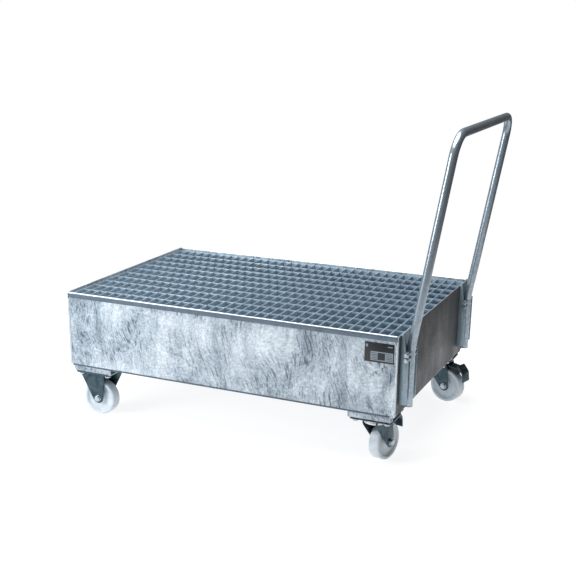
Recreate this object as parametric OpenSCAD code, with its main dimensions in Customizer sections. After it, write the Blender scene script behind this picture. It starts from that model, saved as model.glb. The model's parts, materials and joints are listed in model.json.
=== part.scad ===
// Drum dolly: a galvanised spill tray with a lift-out grating, on four castors, with a push handle.
// Millimetres, +Z up. The floor is z = 0 and the origin lies on it, midway along the overall length.
// +X runs towards the push handle. The two castors at the handle end swivel and have brakes.

/* [Tray] */
// Length of the tray along X
tray_l = 1200; // [1000:10:1500]
// Width of the tray along Y
tray_w = 800; // [650:10:1000]
// Height of the tray walls
tray_h = 265; // [220:5:350]
// Thickness of the tray's sheet steel
sheet_t = 3; // [2:0.5:4]
// Inside radius of the bends between the floor and the end walls
bend_r = 8; // [4:1:12]
// Distance that the long walls sit inside the edges of the end walls
wall_inset = 1; // [0.5:0.5:2]
// Height of the folded hem along the top of the long walls
hem_h = 19; // [12:1:30]
// Width of the weld beads that join the long walls to the bent sheet
weld_w = 5; // [3:0.5:7]

/* [Grating] */
// Gap between the grating and each end wall
grating_gap_x = 5; // [3:1:10]
// Gap between the grating and each long wall
grating_gap_y = 11; // [6:1:15]
// Depth of the grating's top below the rim
deck_drop = 8; // [2:1:20]
// Height of the bearing bars
bar_h = 30; // [20:5:40]
// Thickness of the bearing bars and of the edge bars
bar_t = 3; // [2:0.5:4]
// Nominal distance between bearing bars
bar_pitch = 33; // [25:1:50]
// Height of the cross bars
cross_h = 10; // [6:1:12]
// Thickness of the cross bars
cross_t = 2; // [1.5:0.5:3]
// Nominal distance between cross bars
cross_pitch = 70; // [50:5:100]
// Width of the ledges that carry the grating
ledge_w = 30; // [22:1:40]
// Gap between the grating and the ledges under it
seat_gap = 0.3; // [0.3:0.1:1]

/* [Feet] */
// Length of each foot channel along X
foot_l = 150; // [145:5:200]
// Width of each foot channel along Y
foot_w = 110; // [110:5:140]
// Height of each foot channel
foot_h = 22; // [20:1:40]
// Wall thickness of the foot channels
foot_t = 4; // [3:0.5:5]
// Distance from the tray's end to a foot
foot_inset_x = 10; // [5:5:60]
// Distance from the tray's long side to a foot
foot_inset_y = 5; // [5:5:60]
// Length of the bevel on a foot's outer lower corner
foot_bevel_l = 10; // [5:1:12]
// Height of the bevel on a foot's outer lower corner
foot_bevel_h = 15; // [8:1:18]

/* [Castors] */
// Height of a castor's head: from the top of its wheel to the top of its plate
castor_head = 40; // [37:1:60]
// Diameter of the wheels
wheel_d = 125; // [100:5:160]
// Width of the wheels at the tread
wheel_w = 40; // [30:2:44]
// Length of the castor plates
plate_l = 140; // [135:1:150]
// Width of the castor plates
plate_w = 110; // [105:1:120]
// Thickness of the castor plates
plate_t = 4; // [3:0.5:5]
// Distance between a plate's bolt holes along its length
bolt_space_x = 105; // [100:1:110]
// Distance between a plate's bolt holes along its width
bolt_space_y = 80; // [75:1:82]
// Thread size of the plate bolts
plate_bolt_d = 10; // [8:2:12]
// Distance from the swivel axis back to the wheel's axle
trail = 55; // [50:1:60]
// Thickness of the fork legs
fork_t = 3.5; // [3:0.5:5]
// Thread size of the wheel axles
axle_d = 12; // [10:1:14]
// Gap between a wheel's hub and each fork leg
hub_gap = 1.5; // [0.5:0.5:3]
// Direction in which the front swivel castor trails, in degrees from +X
front_trail_angle = 75.5; // [-180:0.5:180]
// Direction in which the rear swivel castor trails, in degrees from +X
rear_trail_angle = -16; // [-180:0.5:180]
// Turn of a brake pedal from released to pressed, in degrees
brake_travel = 8; // [4:1:10]

/* [Handle] */
// Height of the handle's top above the floor
handle_h = 1063; // [850:1:1200]
// Distance from the tray's long side in to the centre line of a handle leg
leg_inset = 66; // [60:1:150]
// Lean of the handle away from the tray, in degrees
handle_lean = 9.2; // [5:0.1:15]
// Outside diameter of the handle tube
tube_d = 26.9; // [21:0.1:30]
// Wall thickness of the handle tube
tube_t = 2.3; // [1.5:0.1:3]
// Centre-line radius of the handle's top corners
corner_r = 65; // [45:1:120]
// Height above the tray's underside where the legs start to lean
kink_z = 212; // [205:1:240]
// Height of the legs' lower ends above the tray's underside
tube_foot_z = 26; // [10:1:60]
// Gap between the bracket's back and the handle tube
tube_gap = 1; // [0.5:0.5:3]

/* [Brackets] */
// Width of a handle bracket along Y
bracket_w = 92; // [80:2:110]
// Distance from the centre of the handle bolts to the free edge of a bracket's sides
bracket_edge = 8.5; // [7:0.5:20]
// Thickness of the brackets
bracket_t = 4; // [3:0.5:5]
// Height of the brackets' lower edge above the tray's underside
bracket_z0 = 40; // [30:1:60]
// Thread size of the handle bolts
handle_bolt_d = 8; // [6:1:10]
// Height of the upper handle bolt above the tray's underside
handle_bolt_z = 203; // [190:1:205]
// Distance between the two handle bolts of a leg
handle_bolt_gap = 17; // [15:1:40]

/* [Label] */
// Length of the label
label_l = 95; // [60:1:150]
// Height of the label
label_h = 63; // [40:1:100]
// Thickness of the label
label_t = 1; // [0.5:0.1:2]
// Distance from the tray's handle end to the label
label_end = 14; // [10:1:200]
// Distance from the rim down to the label
label_drop = 28; // [25:1:100]

/* [Fits] */
// Radial clearance of a part that turns on a shaft
running_fit = 0.05; // [0.02:0.01:0.1]
// Radial clearance of a bolt in its hole
bolt_fit = 0.5; // [0.2:0.1:1]
// Gap between pieces that move past each other
move_gap = 0.5; // [0.3:0.1:1]

/* [Hidden] */
$fn = 64;
eps = 0.01;

castor_h = wheel_d + castor_head;    // top of the castor plates above the floor
tray_z = castor_h + foot_h;          // underside of the tray above the floor
shell_r = bend_r + sheet_t;          // outside radius of the sheet's bends
in_l = tray_l - 2 * sheet_t;         // length inside the tray
wall_out = tray_w / 2 - wall_inset;  // outer face of the long walls
wall_in = wall_out - sheet_t;        // inner face of the long walls
hem_gap = 6;                         // bare length of wall at the handle end of the hem

grating_l = in_l - 2 * grating_gap_x;
grating_w = 2 * (wall_in - grating_gap_y);
deck_z = tray_h - deck_drop;         // top of the grating above the tray's underside
bar_spaces = 2 * round((grating_l - bar_t) / bar_pitch / 2);
bar_step = (grating_l - bar_t) / bar_spaces;
cross_spaces = round((grating_w - bar_t) / cross_pitch);
cross_step = (grating_w - bar_t) / cross_spaces;
ledge_z = deck_z - bar_h - seat_gap; // top of the ledges

foot_x = tray_l / 2 - foot_inset_x - foot_l / 2;
foot_y = tray_w / 2 - foot_inset_y - foot_w / 2;

wheel_r = wheel_d / 2;
axle_z = wheel_r - castor_h;         // axle below the top of the castor plate
hub_w = wheel_w + 4;
leg_in = hub_w / 2 + hub_gap;        // inner face of a fork leg
leg_out = leg_in + fork_t;
sleeve_r = axle_d / 2 + 1.5;         // outside radius of the axle sleeve
bush_r = sleeve_r + 2.5;             // outside radius of the wheel's bush
boss_r = 19;                         // half width of a fork leg at the axle
plate_r = 10;                        // corner radius of the castor plates

race_r = 39;                         // outside radius of the ball race
race_t = 3;                          // thickness of the race's flat ring
ball_r = 3;
ball_ring_r = 28;
ball_count = 20;
crown_r = 38;                        // radius of a swivel fork's crown
crown_t = 4;
ball_z = -plate_t - race_t - ball_r; // centres of the balls
crown_z = ball_z - ball_r - move_gap; // top of the crown
pin_r = 6;                           // king pin radius
crown_front = -34;                   // front edge of a swivel fork leg at the crown
crown_back = 60;                     // back edge of a swivel fork leg at the crown
castor_washer_t = 2;
axle_washer_t = 2;

brake_x = 50;                        // brake pin behind the swivel axis
brake_z = crown_z - crown_t - 9;     // brake pin below the plate
brake_pin_r = 4;
brake_w = 2 * leg_in - 4;            // width of the brake lever
lever_t = 4;
lever_hub_r = brake_pin_r + 3;
rocker_x = trail + wheel_r - 9.5 - brake_x; // rocker's front edge behind the brake pin
shoe_l = 25;                         // length of the brake shoe along the lever
shoe_end = 6;                        // gap between the shoe and the rocker

tube_r = tube_d / 2;
handle_w = tray_w - 2 * leg_inset;   // distance between the centre lines of the legs
bracket_d = bracket_t + tube_gap + tube_r + bracket_edge;
tube_x = tray_l / 2 + bracket_t + tube_gap + tube_r;
bar_z = handle_h - tray_z - tube_r;  // centre of the top bar above the tray's underside
lean_l = (bar_z - kink_z) / cos(handle_lean);
bar_x = tube_x + lean_l * sin(handle_lean);
notch_z = handle_bolt_z + 8;         // lower end of the notch in a bracket's sides
prong_w = 10;                        // width of a bracket's side where it meets the rim
prong_z = tray_h + 1;                // top of the brackets

tray_x = (tray_l / 2 - bar_x - tube_r) / 2; // centre of the tray in the part's own frame

galvanised = "#b4bcc4";
zinc_plate = "#39566a";
bright_zinc = "#c8ccd0";
polyamide = "#e4e6e8";

// [end of the tray, side of the tray], with -X and -Y negative
FIXED = [[-1, -1], [-1, 1]];
SWIVEL = [[1, -1], [1, 1]];
CASTORS = concat(FIXED, SWIVEL);
SIDES = [-1, 1];

// ---------- shared shapes and places ----------

// Rectangle centred on the origin with round corners
module round_rect(size, r) {
    square([size.x - 2 * r, size.y], center = true);
    square([size.x, size.y - 2 * r], center = true);
    for (sx = SIDES, sy = SIDES)
        translate([sx * (size.x / 2 - r), sy * (size.y / 2 - r)]) circle(r);
}

// Rectangle from y = 0 upwards whose two lower corners are round
module tub_outline(l, h, r) {
    translate([-l / 2, r]) square([l, h - r]);
    translate([r - l / 2, 0]) square([l - 2 * r, h]);
    for (s = SIDES) translate([s * (l / 2 - r), r]) circle(r);
}

// Extrudes an outline drawn in X and Z along Y, between two values of y
module along_y(y0, y1) {
    translate([0, y1, 0]) rotate([90, 0, 0]) linear_extrude(y1 - y0) children();
}

// Extrudes an outline drawn in Y and Z along X, between two values of x
module along_x(x0, x1) {
    translate([x0, 0, 0]) rotate([90, 0, 90]) linear_extrude(x1 - x0) children();
}

// Hexagon bar for a bolt head or nut, measured across its flats
module hex(flats, h) {
    cylinder(d = flats / cos(30), h = h, $fn = 6);
}

// Cylinder along Y, centred on y = 0
module y_rod(r, l) {
    rotate([90, 0, 0]) cylinder(r = r, h = l, center = true);
}

// Tube along Y, centred on y = 0
module y_tube(r, bore, l) {
    difference() {
        y_rod(r, l);
        y_rod(bore, l + 2);
    }
}

// Puts children on the tray: origin at the centre of its underside
module on_tray() {
    translate([tray_x, 0, tray_z]) children();
}

// Puts children at a castor: origin at the centre of its plate's top
module at_castor(place, angle = 0) {
    translate([tray_x + place.x * foot_x, place.y * foot_y, castor_h])
        rotate([0, 0, angle]) children();
}

module at_front_swivel() { at_castor(SWIVEL[0], front_trail_angle) children(); }
module at_rear_swivel() { at_castor(SWIVEL[1], rear_trail_angle) children(); }

// Puts children at the four bolt places of a castor plate
module at_plate_bolts() {
    for (sx = SIDES, sy = SIDES)
        translate([sx * bolt_space_x / 2, sy * bolt_space_y / 2, 0]) children();
}

// ---------- tray ----------

module tray_shell() color(galvanised) on_tray()
    along_y(-tray_w / 2, tray_w / 2) difference() {
        tub_outline(tray_l, tray_h, shell_r);
        translate([0, sheet_t]) tub_outline(in_l, tray_h, bend_r);
    }

// Long wall on the -Y side: a flat sheet whose top edge is folded outwards and down
module long_wall() {
    along_y(-wall_out, -wall_in)
        translate([0, sheet_t]) tub_outline(in_l, tray_h - 2 * sheet_t, bend_r);
    along_x(-in_l / 2, tray_l / 2 - hem_gap) {
        translate([-wall_out, tray_h - sheet_t]) intersection() {
            circle(sheet_t);
            translate([-sheet_t, 0]) square([2 * sheet_t, sheet_t]);
        }
        translate([-wall_out - sheet_t, tray_h - hem_h]) square([sheet_t, hem_h - sheet_t]);
        translate([-wall_out, tray_h - hem_h]) square([sheet_t, hem_h - sheet_t]);
    }
}

module front_wall() color(galvanised) on_tray() long_wall();

module rear_wall() color(galvanised) on_tray() mirror([0, 1, 0]) long_wall();

// Cross-section of a bead that laps from the long wall's face on to the bent sheet's edge:
// x runs across the bead from the sheet's inner face, y runs out of the wall's face
module bead_outline() {
    polygon([
        [-weld_w, 0], [0, 0], [0, wall_inset], [sheet_t * 0.6, wall_inset],
        [sheet_t * 0.2, wall_inset + 1], [-weld_w * 0.5, wall_inset + 1], [-weld_w * 0.9, 0.6]
    ]);
}

module weld_beads() color(bright_zinc) on_tray() {
    bead_z0 = shell_r + 1;
    bead_z1 = tray_h - hem_h - 1;
    for (s = SIDES) scale([1, s, 1]) {
        for (e = SIDES) scale([e, 1, 1])
            translate([in_l / 2, wall_out, bead_z0])
                linear_extrude(bead_z1 - bead_z0) bead_outline();
        along_x(shell_r - tray_l / 2, tray_l / 2 - shell_r)
            translate([wall_out, sheet_t]) rotate(-90) bead_outline();
    }
}

// Angle iron under the grating's edge: a flat top and a leg against the wall, drawn for the +x side
module ledge_outline(wall) {
    translate([wall - ledge_w, ledge_z - sheet_t]) square([ledge_w, sheet_t]);
    translate([wall - sheet_t, ledge_z - ledge_w]) square([sheet_t, ledge_w]);
}

module long_ledge() along_x(-in_l / 2, in_l / 2) ledge_outline(wall_in);

module end_ledge() {
    half = wall_in - ledge_w;
    along_y(-half, half) ledge_outline(in_l / 2);
}

module ledge_front() color(galvanised) on_tray() mirror([0, 1, 0]) long_ledge();
module ledge_rear() color(galvanised) on_tray() long_ledge();
module ledge_left() color(galvanised) on_tray() mirror([1, 0, 0]) end_ledge();
module ledge_right() color(galvanised) on_tray() end_ledge();

module label_plate() color("#20242a") on_tray()
    translate([tray_l / 2 - label_end - label_l, -wall_out - label_t, tray_h - label_drop - label_h])
        cube([label_l, label_t, label_h]);

// ---------- feet ----------

// Channel under a tray corner, open upwards, with its outer end towards +X
module foot(place) {
    translate([tray_x + place.x * foot_x, place.y * foot_y, castor_h]) scale([place.x, 1, 1])
        difference() {
            along_x(-foot_l / 2, foot_l / 2) difference() {
                translate([-foot_w / 2, 0]) square([foot_w, foot_h]);
                translate([foot_t - foot_w / 2, foot_t]) square([foot_w - 2 * foot_t, foot_h]);
            }
            along_y(-foot_w, foot_w) polygon([
                [foot_l / 2 - foot_bevel_l, -eps], [foot_l / 2 + 1, -eps],
                [foot_l / 2 + 1, foot_bevel_h], [foot_l / 2, foot_bevel_h]
            ]);
            at_plate_bolts() cylinder(r = plate_bolt_d / 2 + bolt_fit, h = 4 * foot_t, center = true);
            cylinder(r = pin_r + 4, h = 4 * foot_t, center = true);
        }
}

module foot_front_left() color(galvanised) foot(FIXED[0]);
module foot_rear_left() color(galvanised) foot(FIXED[1]);
module foot_front_right() color(galvanised) foot(SWIVEL[0]);
module foot_rear_right() color(galvanised) foot(SWIVEL[1]);

// ---------- grating ----------

// Bearing bar seen from the side, with a slot in its top for each cross bar
module bearing_bar_outline() {
    half = grating_w / 2 - bar_t;
    slots = [for (i = [1:cross_spaces - 1]) (i - cross_spaces / 2) * cross_step];
    polygon(concat(
        [[half, deck_z], [half, deck_z - bar_h], [-half, deck_z - bar_h], [-half, deck_z]],
        [for (y = slots, corner = [[-1, 0], [-1, -cross_h], [1, -cross_h], [1, 0]])
            [y + corner.x * cross_t / 2, deck_z + corner.y]]
    ));
}

module bearing_bars() color(galvanised) on_tray()
    for (i = [1:bar_spaces - 1])
        translate([(i - bar_spaces / 2) * bar_step, 0, 0])
            along_x(-bar_t / 2, bar_t / 2) bearing_bar_outline();

module cross_bars() color(galvanised) on_tray()
    for (i = [1:cross_spaces - 1])
        translate([0, (i - cross_spaces / 2) * cross_step - cross_t / 2, deck_z - cross_h])
            translate([bar_t - grating_l / 2, 0, 0]) cube([grating_l - 2 * bar_t, cross_t, cross_h]);

module grating_frame() color(galvanised) on_tray()
    translate([0, 0, deck_z - bar_h]) linear_extrude(bar_h) difference() {
        square([grating_l, grating_w], center = true);
        square([grating_l - 2 * bar_t, grating_w - 2 * bar_t], center = true);
    }

// ---------- handle ----------

// Round bar of radius r that starts along +Z at the origin and bends towards +X
module bar_bend(r, bend, angle) {
    translate([bend, 0, 0]) rotate([90, 0, 180])
        rotate_extrude(angle = angle) translate([bend, 0]) circle(r);
}

// Half of the handle as a round bar of radius r, on the +Y side: its upright foot, its leaning
// leg, the top corner and half of the top bar. Foot and leg meet in a mitre at the kink.
// The foot's lower end is drawn longer by extra.
module half_handle(r, extra = 0) {
    overlap = 10;
    upright_l = kink_z - tube_foot_z;
    translate([tube_x, handle_w / 2, kink_z]) {
        difference() {
            translate([0, 0, -upright_l - extra]) cylinder(r = r, h = upright_l + extra + overlap);
            mitre(1);
        }
        difference() {
            rotate([0, handle_lean, 0]) translate([0, 0, -overlap])
                cylinder(r = r, h = lean_l - corner_r + overlap);
            mitre(-1);
        }
        rotate([0, handle_lean, 0]) {
            translate([0, 0, lean_l - corner_r]) rotate([0, 0, -90]) bar_bend(r, corner_r, 90);
            translate([0, -corner_r, lean_l]) rotate([90, 0, 0]) cylinder(r = r, h = handle_w / 2 - corner_r);
        }
    }
}

// Block on one side of the plane that halves the angle between a leg and its foot
module mitre(side) {
    rotate([0, handle_lean / 2, 0]) translate([0, 0, side * tube_d])
        cube(2 * tube_d, center = true);
}

module handle_bar(r, extra = 0) {
    half_handle(r, extra);
    mirror([0, 1, 0]) half_handle(r, extra);
}

// Puts children on a leg's axis at the height of each of its bolts
module at_handle_bolts() {
    for (s = SIDES, z = [handle_bolt_z, handle_bolt_z - handle_bolt_gap])
        translate([tube_x, s * handle_w / 2, z]) children();
}

module handle_tube() color(bright_zinc) on_tray() difference() {
    handle_bar(tube_r);
    handle_bar(tube_r - tube_t, 1);
    at_handle_bolts() y_rod(handle_bolt_d / 2 + bolt_fit / 2, tube_d + 2);
}

module tube_end_caps() color("#2a2d31") on_tray()
    for (s = SIDES) translate([tube_x, s * handle_w / 2, tube_foot_z]) {
        translate([0, 0, -2]) cylinder(r = tube_r, h = 2);
        cylinder(r = tube_r - tube_t, h = 14);
    }

// Side of a bracket in X and Z: notched at the top so that the leaning leg clears it
module bracket_side() {
    polygon([
        [tray_l / 2, bracket_z0], [tray_l / 2 + bracket_d, bracket_z0], [tray_l / 2 + bracket_d, notch_z],
        [tray_l / 2 + prong_w + 6, notch_z], [tray_l / 2 + prong_w, prong_z], [tray_l / 2, prong_z]
    ]);
}

// U-shaped bracket whose back lies against the end wall
module bracket(side) {
    translate([0, side * handle_w / 2, 0]) difference() {
        union() {
            for (s = SIDES)
                translate([0, s * (bracket_w - bracket_t) / 2, 0])
                    along_y(-bracket_t / 2, bracket_t / 2) bracket_side();
            translate([tray_l / 2, -bracket_w / 2, bracket_z0])
                cube([bracket_t, bracket_w, prong_z - bracket_z0]);
        }
        for (z = [handle_bolt_z, handle_bolt_z - handle_bolt_gap])
            translate([tube_x, 0, z]) y_rod(handle_bolt_d / 2 + bolt_fit / 2, bracket_w + 2);
    }
}

module bracket_front() color(galvanised) on_tray() bracket(-1);
module bracket_rear() color(galvanised) on_tray() bracket(1);

// Bolt heads face -Y on both legs
module handle_bolts() color(bright_zinc) on_tray() at_handle_bolts() {
    y_rod(handle_bolt_d / 2, bracket_w + 2 * handle_bolt_d);
    translate([0, -bracket_w / 2, 0]) rotate([90, 0, 0]) {
        cylinder(d = 2 * handle_bolt_d, h = 1.6);
        hex(1.6 * handle_bolt_d, 1.6 + 0.65 * handle_bolt_d);
    }
}

module handle_nuts() color(bright_zinc) on_tray() at_handle_bolts()
    translate([0, bracket_w / 2, 0]) rotate([-90, 0, 0]) difference() {
        hex(1.6 * handle_bolt_d, 0.8 * handle_bolt_d);
        cylinder(d = handle_bolt_d, h = 3 * handle_bolt_d, center = true);
    }

// Sleeves that hold the tube midway between the sides of its bracket
module handle_spacers() color(bright_zinc) on_tray() at_handle_bolts() {
    spacer_l = bracket_w / 2 - bracket_t - tube_r;
    for (s = SIDES) translate([0, s * (tube_r + spacer_l / 2), 0])
        y_tube(handle_bolt_d / 2 + 3, handle_bolt_d / 2 + bolt_fit / 2, spacer_l);
}

// ---------- castor hardware ----------

module castor_bolts() color(bright_zinc) for (place = CASTORS) at_castor(place) at_plate_bolts()
    translate([0, 0, -plate_t - castor_washer_t]) {
        cylinder(d = plate_bolt_d, h = plate_t + castor_washer_t + foot_t + plate_bolt_d);
        translate([0, 0, -0.64 * plate_bolt_d]) hex(1.7 * plate_bolt_d, 0.64 * plate_bolt_d);
    }

module castor_nuts() color(bright_zinc) for (place = CASTORS) at_castor(place) at_plate_bolts()
    translate([0, 0, foot_t]) difference() {
        hex(1.6 * plate_bolt_d, 0.8 * plate_bolt_d);
        translate([0, 0, -1]) cylinder(d = plate_bolt_d, h = 2 * plate_bolt_d);
    }

module castor_washers() color(bright_zinc) for (place = CASTORS) at_castor(place) at_plate_bolts()
    translate([0, 0, -plate_t - castor_washer_t]) difference() {
        cylinder(d = 2 * plate_bolt_d, h = castor_washer_t);
        translate([0, 0, -1]) cylinder(d = plate_bolt_d, h = castor_washer_t + 2);
    }

// Castor plate with its bolt holes and, on a swivel castor, the king pin's hole
module castor_plate(pin_hole = 0) {
    translate([0, 0, -plate_t]) linear_extrude(plate_t) difference() {
        round_rect([plate_l, plate_w], plate_r);
        at_plate_bolts() circle(plate_bolt_d / 2 + bolt_fit);
        if (pin_hole > 0) circle(pin_hole);
    }
}

// Wheel with a dished disc on each face, drawn with its axle along Y
module wheel() color(polyamide) rotate([90, 0, 0]) rotate_extrude($fn = 96) {
    half = wheel_w / 2;
    tread_bevel = 3;
    rim = 7;
    dish = 7;
    side = [
        [bush_r, hub_w / 2], [bush_r + 8, hub_w / 2], [bush_r + 11, hub_w / 2 - 4],
        [bush_r + 14, half - dish], [wheel_r - rim - 8, half - dish],
        [wheel_r - rim - 3, half - 2], [wheel_r - rim, half],
        [wheel_r - tread_bevel, half], [wheel_r, half - tread_bevel]
    ];
    polygon(concat(side, [for (i = [len(side) - 1:-1:0]) [side[i].x, -side[i].y]]));
}

// Plain bush that turns with the wheel on the axle sleeve
module bush() color("#d9c48a") y_tube(bush_r, sleeve_r + running_fit, hub_w);

module axle_sleeve() color(bright_zinc) y_tube(sleeve_r, axle_d / 2, 2 * leg_in);

// Axle bolt with its head on the -Y side
module axle_bolt() color(bright_zinc) {
    translate([0, 0.5 * axle_d, 0]) y_rod(axle_d / 2, 2 * leg_out + axle_d);
    translate([0, -leg_out, 0]) rotate([90, 0, 0]) {
        cylinder(d = 2 * axle_d, h = axle_washer_t);
        hex(1.55 * axle_d, axle_washer_t + 0.6 * axle_d);
    }
}

module axle_nut() color(bright_zinc) translate([0, leg_out, 0]) rotate([-90, 0, 0]) difference() {
    hex(1.55 * axle_d, 0.85 * axle_d);
    translate([0, 0, -1]) cylinder(d = axle_d, h = 2 * axle_d);
}

// ---------- fixed castors ----------

// Puts children at the axle of a fixed castor
module at_fixed_axle(place) { at_castor(place) translate([0, 0, axle_z]) children(); }

// Leg of a fixed fork in X and Z: one edge slants in from the plate's end, the other is nearly upright
module fixed_leg_outline() {
    foot_z = axle_z - boss_r - 2;
    polygon([
        [-plate_l / 2, -plate_t], [-plate_l / 2, -plate_t - 12], [-boss_r, foot_z + 5], [5 - boss_r, foot_z],
        [boss_r - 5, foot_z], [boss_r, foot_z + 5], [boss_r + 10, -plate_t]
    ]);
}

// Pressed fork: its plate and two legs, alike when turned half a turn
module fixed_fork() color(zinc_plate) {
    castor_plate();
    for (turn = [0, 180]) rotate([0, 0, turn]) difference() {
        union() {
            along_y(-leg_out, -leg_in) fixed_leg_outline();
            // stiffening bulge pressed out of the leg's upper half
            intersection() {
                translate([-8, -leg_in + 3, -plate_t - 46]) cylinder(r = 11, h = 46);
                translate([-30, -leg_out - 20, -plate_t - 46]) cube([44, 20 + fork_t / 2, 46]);
            }
        }
        translate([0, -leg_in, axle_z]) y_rod(axle_d / 2, 4 * fork_t);
    }
}

module fixed_fork_front() at_castor(FIXED[0]) fixed_fork();
module fixed_fork_rear() at_castor(FIXED[1]) fixed_fork();
module fixed_axle_bolts() for (place = FIXED) at_fixed_axle(place) axle_bolt();
module fixed_axle_nuts() for (place = FIXED) at_fixed_axle(place) axle_nut();
module fixed_axle_sleeves() for (place = FIXED) at_fixed_axle(place) axle_sleeve();
module wheel_front_left() at_fixed_axle(FIXED[0]) wheel();
module wheel_rear_left() at_fixed_axle(FIXED[1]) wheel();
module bush_front_left() at_fixed_axle(FIXED[0]) bush();
module bush_rear_left() at_fixed_axle(FIXED[1]) bush();

// ---------- swivel castors: local +X is the direction in which the wheel trails ----------

module swivel_plate() color(zinc_plate) castor_plate(pin_r);

// Upper ball race: a flat ring with a skirt that covers the balls
module race() color(bright_zinc) rotate_extrude() polygon([
    [pin_r, -plate_t], [race_r, -plate_t], [race_r, crown_z + move_gap], [race_r - 2, crown_z + move_gap],
    [race_r - 2, -plate_t - race_t], [pin_r, -plate_t - race_t]
]);

module ball_ring() color("#d0d4d8")
    for (i = [0:ball_count - 1]) rotate([0, 0, i * 360 / ball_count])
        translate([ball_ring_r, 0, ball_z]) sphere(r = ball_r, $fn = 24);

// King pin: its head sits in the foot channel and its nut lies under the crown
module king_pin() color(bright_zinc) {
    nut_z = crown_z - crown_t - move_gap;
    translate([0, 0, nut_z - 12]) cylinder(r = pin_r, h = 12 - nut_z);
    cylinder(r = pin_r + 3, h = 6);
    translate([0, 0, nut_z - 9]) hex(19, 9);
}

// Leg of a swivel fork in X and Z: wide at the crown, narrow at the axle
module swivel_leg_outline() {
    foot_z = axle_z - boss_r + 2;
    polygon([
        [crown_front, crown_z], [crown_front, crown_z - crown_t - 6],
        [trail - boss_r, axle_z - 8], [trail - boss_r + 8, foot_z],
        [trail + boss_r - 8, foot_z], [trail + boss_r, axle_z - 6], [crown_back, crown_z]
    ]);
}

module swivel_fork() color(zinc_plate) difference() {
    union() {
        for (s = SIDES)
            translate([0, s * (leg_in + fork_t / 2), 0])
                along_y(-fork_t / 2, fork_t / 2) swivel_leg_outline();
        translate([0, 0, crown_z - crown_t]) linear_extrude(crown_t) {
            circle(crown_r);
            translate([crown_front, -leg_out]) square([crown_back - crown_front, 2 * leg_out]);
        }
    }
    translate([0, 0, crown_z]) cylinder(r = pin_r + running_fit, h = 4 * crown_t, center = true);
    translate([trail, 0, axle_z]) y_rod(axle_d / 2, 2 * leg_out + 2);
    translate([brake_x, 0, brake_z]) y_rod(brake_pin_r, 2 * leg_out + 2);
}

// Pin that the brake pedal turns on, with a flat head outside each leg
module brake_pin() color(bright_zinc) translate([brake_x, 0, brake_z]) {
    y_rod(brake_pin_r, 2 * leg_out);
    for (s = SIDES) translate([0, s * (leg_out + 1), 0]) y_rod(brake_pin_r + 2.5, 2);
}

// Height of the brake lever's underside above the brake pin, at a distance x behind it
function lever_floor(x) = lever_hub_r - lever_t + x / rocker_x * (1 - lever_hub_r);

// Brake pedal: a lever over the wheel that ends in a rocker with an upper and a lower tab
module brake_pedal() color("#23333d") translate([brake_x, 0, brake_z]) difference() {
    union() {
        y_rod(lever_hub_r, brake_w);
        along_y(-brake_w / 2, brake_w / 2) {
            polygon([
                [0, lever_hub_r], [rocker_x, 1], [rocker_x, 1 - lever_t], [0, lever_hub_r - lever_t]
            ]);
            translate([rocker_x, 0]) polygon([
                [-6, 8], [-2, 11], [12, -4], [30, -16], [24, -50], [19, -50], [22, -18], [0, -3]
            ]);
        }
    }
    y_rod(brake_pin_r + running_fit, brake_w + 2);
}

// Brake shoe: its face follows the tread and comes move_gap short of it when the pedal is pressed
module brake_shoe() color("#1d1f22") translate([brake_x, 0, brake_z]) difference() {
    x1 = rocker_x - shoe_end;
    x0 = x1 - shoe_l;
    along_y(-wheel_w / 2 + 4, wheel_w / 2 - 4) polygon([
        [x0, lever_floor(x0)], [x1, lever_floor(x1)], [x1, axle_z - brake_z], [x0, axle_z - brake_z]
    ]);
    rotate([0, -brake_travel, 0])
        translate([trail - brake_x, 0, axle_z - brake_z]) y_rod(wheel_r + move_gap, wheel_w);
}

module at_swivel_axle() { translate([trail, 0, axle_z]) children(); }

module race_balls() {
    at_front_swivel() ball_ring();
    at_rear_swivel() ball_ring();
}

module king_pins() {
    at_front_swivel() king_pin();
    at_rear_swivel() king_pin();
}

module swivel_plate_front() at_castor(SWIVEL[0]) swivel_plate();
module swivel_plate_rear() at_castor(SWIVEL[1]) swivel_plate();
module race_front() at_front_swivel() race();
module race_rear() at_rear_swivel() race();
module swivel_fork_front() at_front_swivel() swivel_fork();
module swivel_fork_rear() at_rear_swivel() swivel_fork();
module swivel_axle_bolt_front() at_front_swivel() at_swivel_axle() axle_bolt();
module swivel_axle_bolt_rear() at_rear_swivel() at_swivel_axle() axle_bolt();
module swivel_axle_nut_front() at_front_swivel() at_swivel_axle() axle_nut();
module swivel_axle_nut_rear() at_rear_swivel() at_swivel_axle() axle_nut();
module swivel_axle_sleeve_front() at_front_swivel() at_swivel_axle() axle_sleeve();
module swivel_axle_sleeve_rear() at_rear_swivel() at_swivel_axle() axle_sleeve();
module brake_pin_front() at_front_swivel() brake_pin();
module brake_pin_rear() at_rear_swivel() brake_pin();
module brake_pedal_front() at_front_swivel() brake_pedal();
module brake_pedal_rear() at_rear_swivel() brake_pedal();
module brake_shoe_front() at_front_swivel() brake_shoe();
module brake_shoe_rear() at_rear_swivel() brake_shoe();
module wheel_front_right() at_front_swivel() at_swivel_axle() wheel();
module wheel_rear_right() at_rear_swivel() at_swivel_axle() wheel();
module bush_front_right() at_front_swivel() at_swivel_axle() bush();
module bush_rear_right() at_rear_swivel() at_swivel_axle() bush();

// ---------- every node ----------

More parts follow.
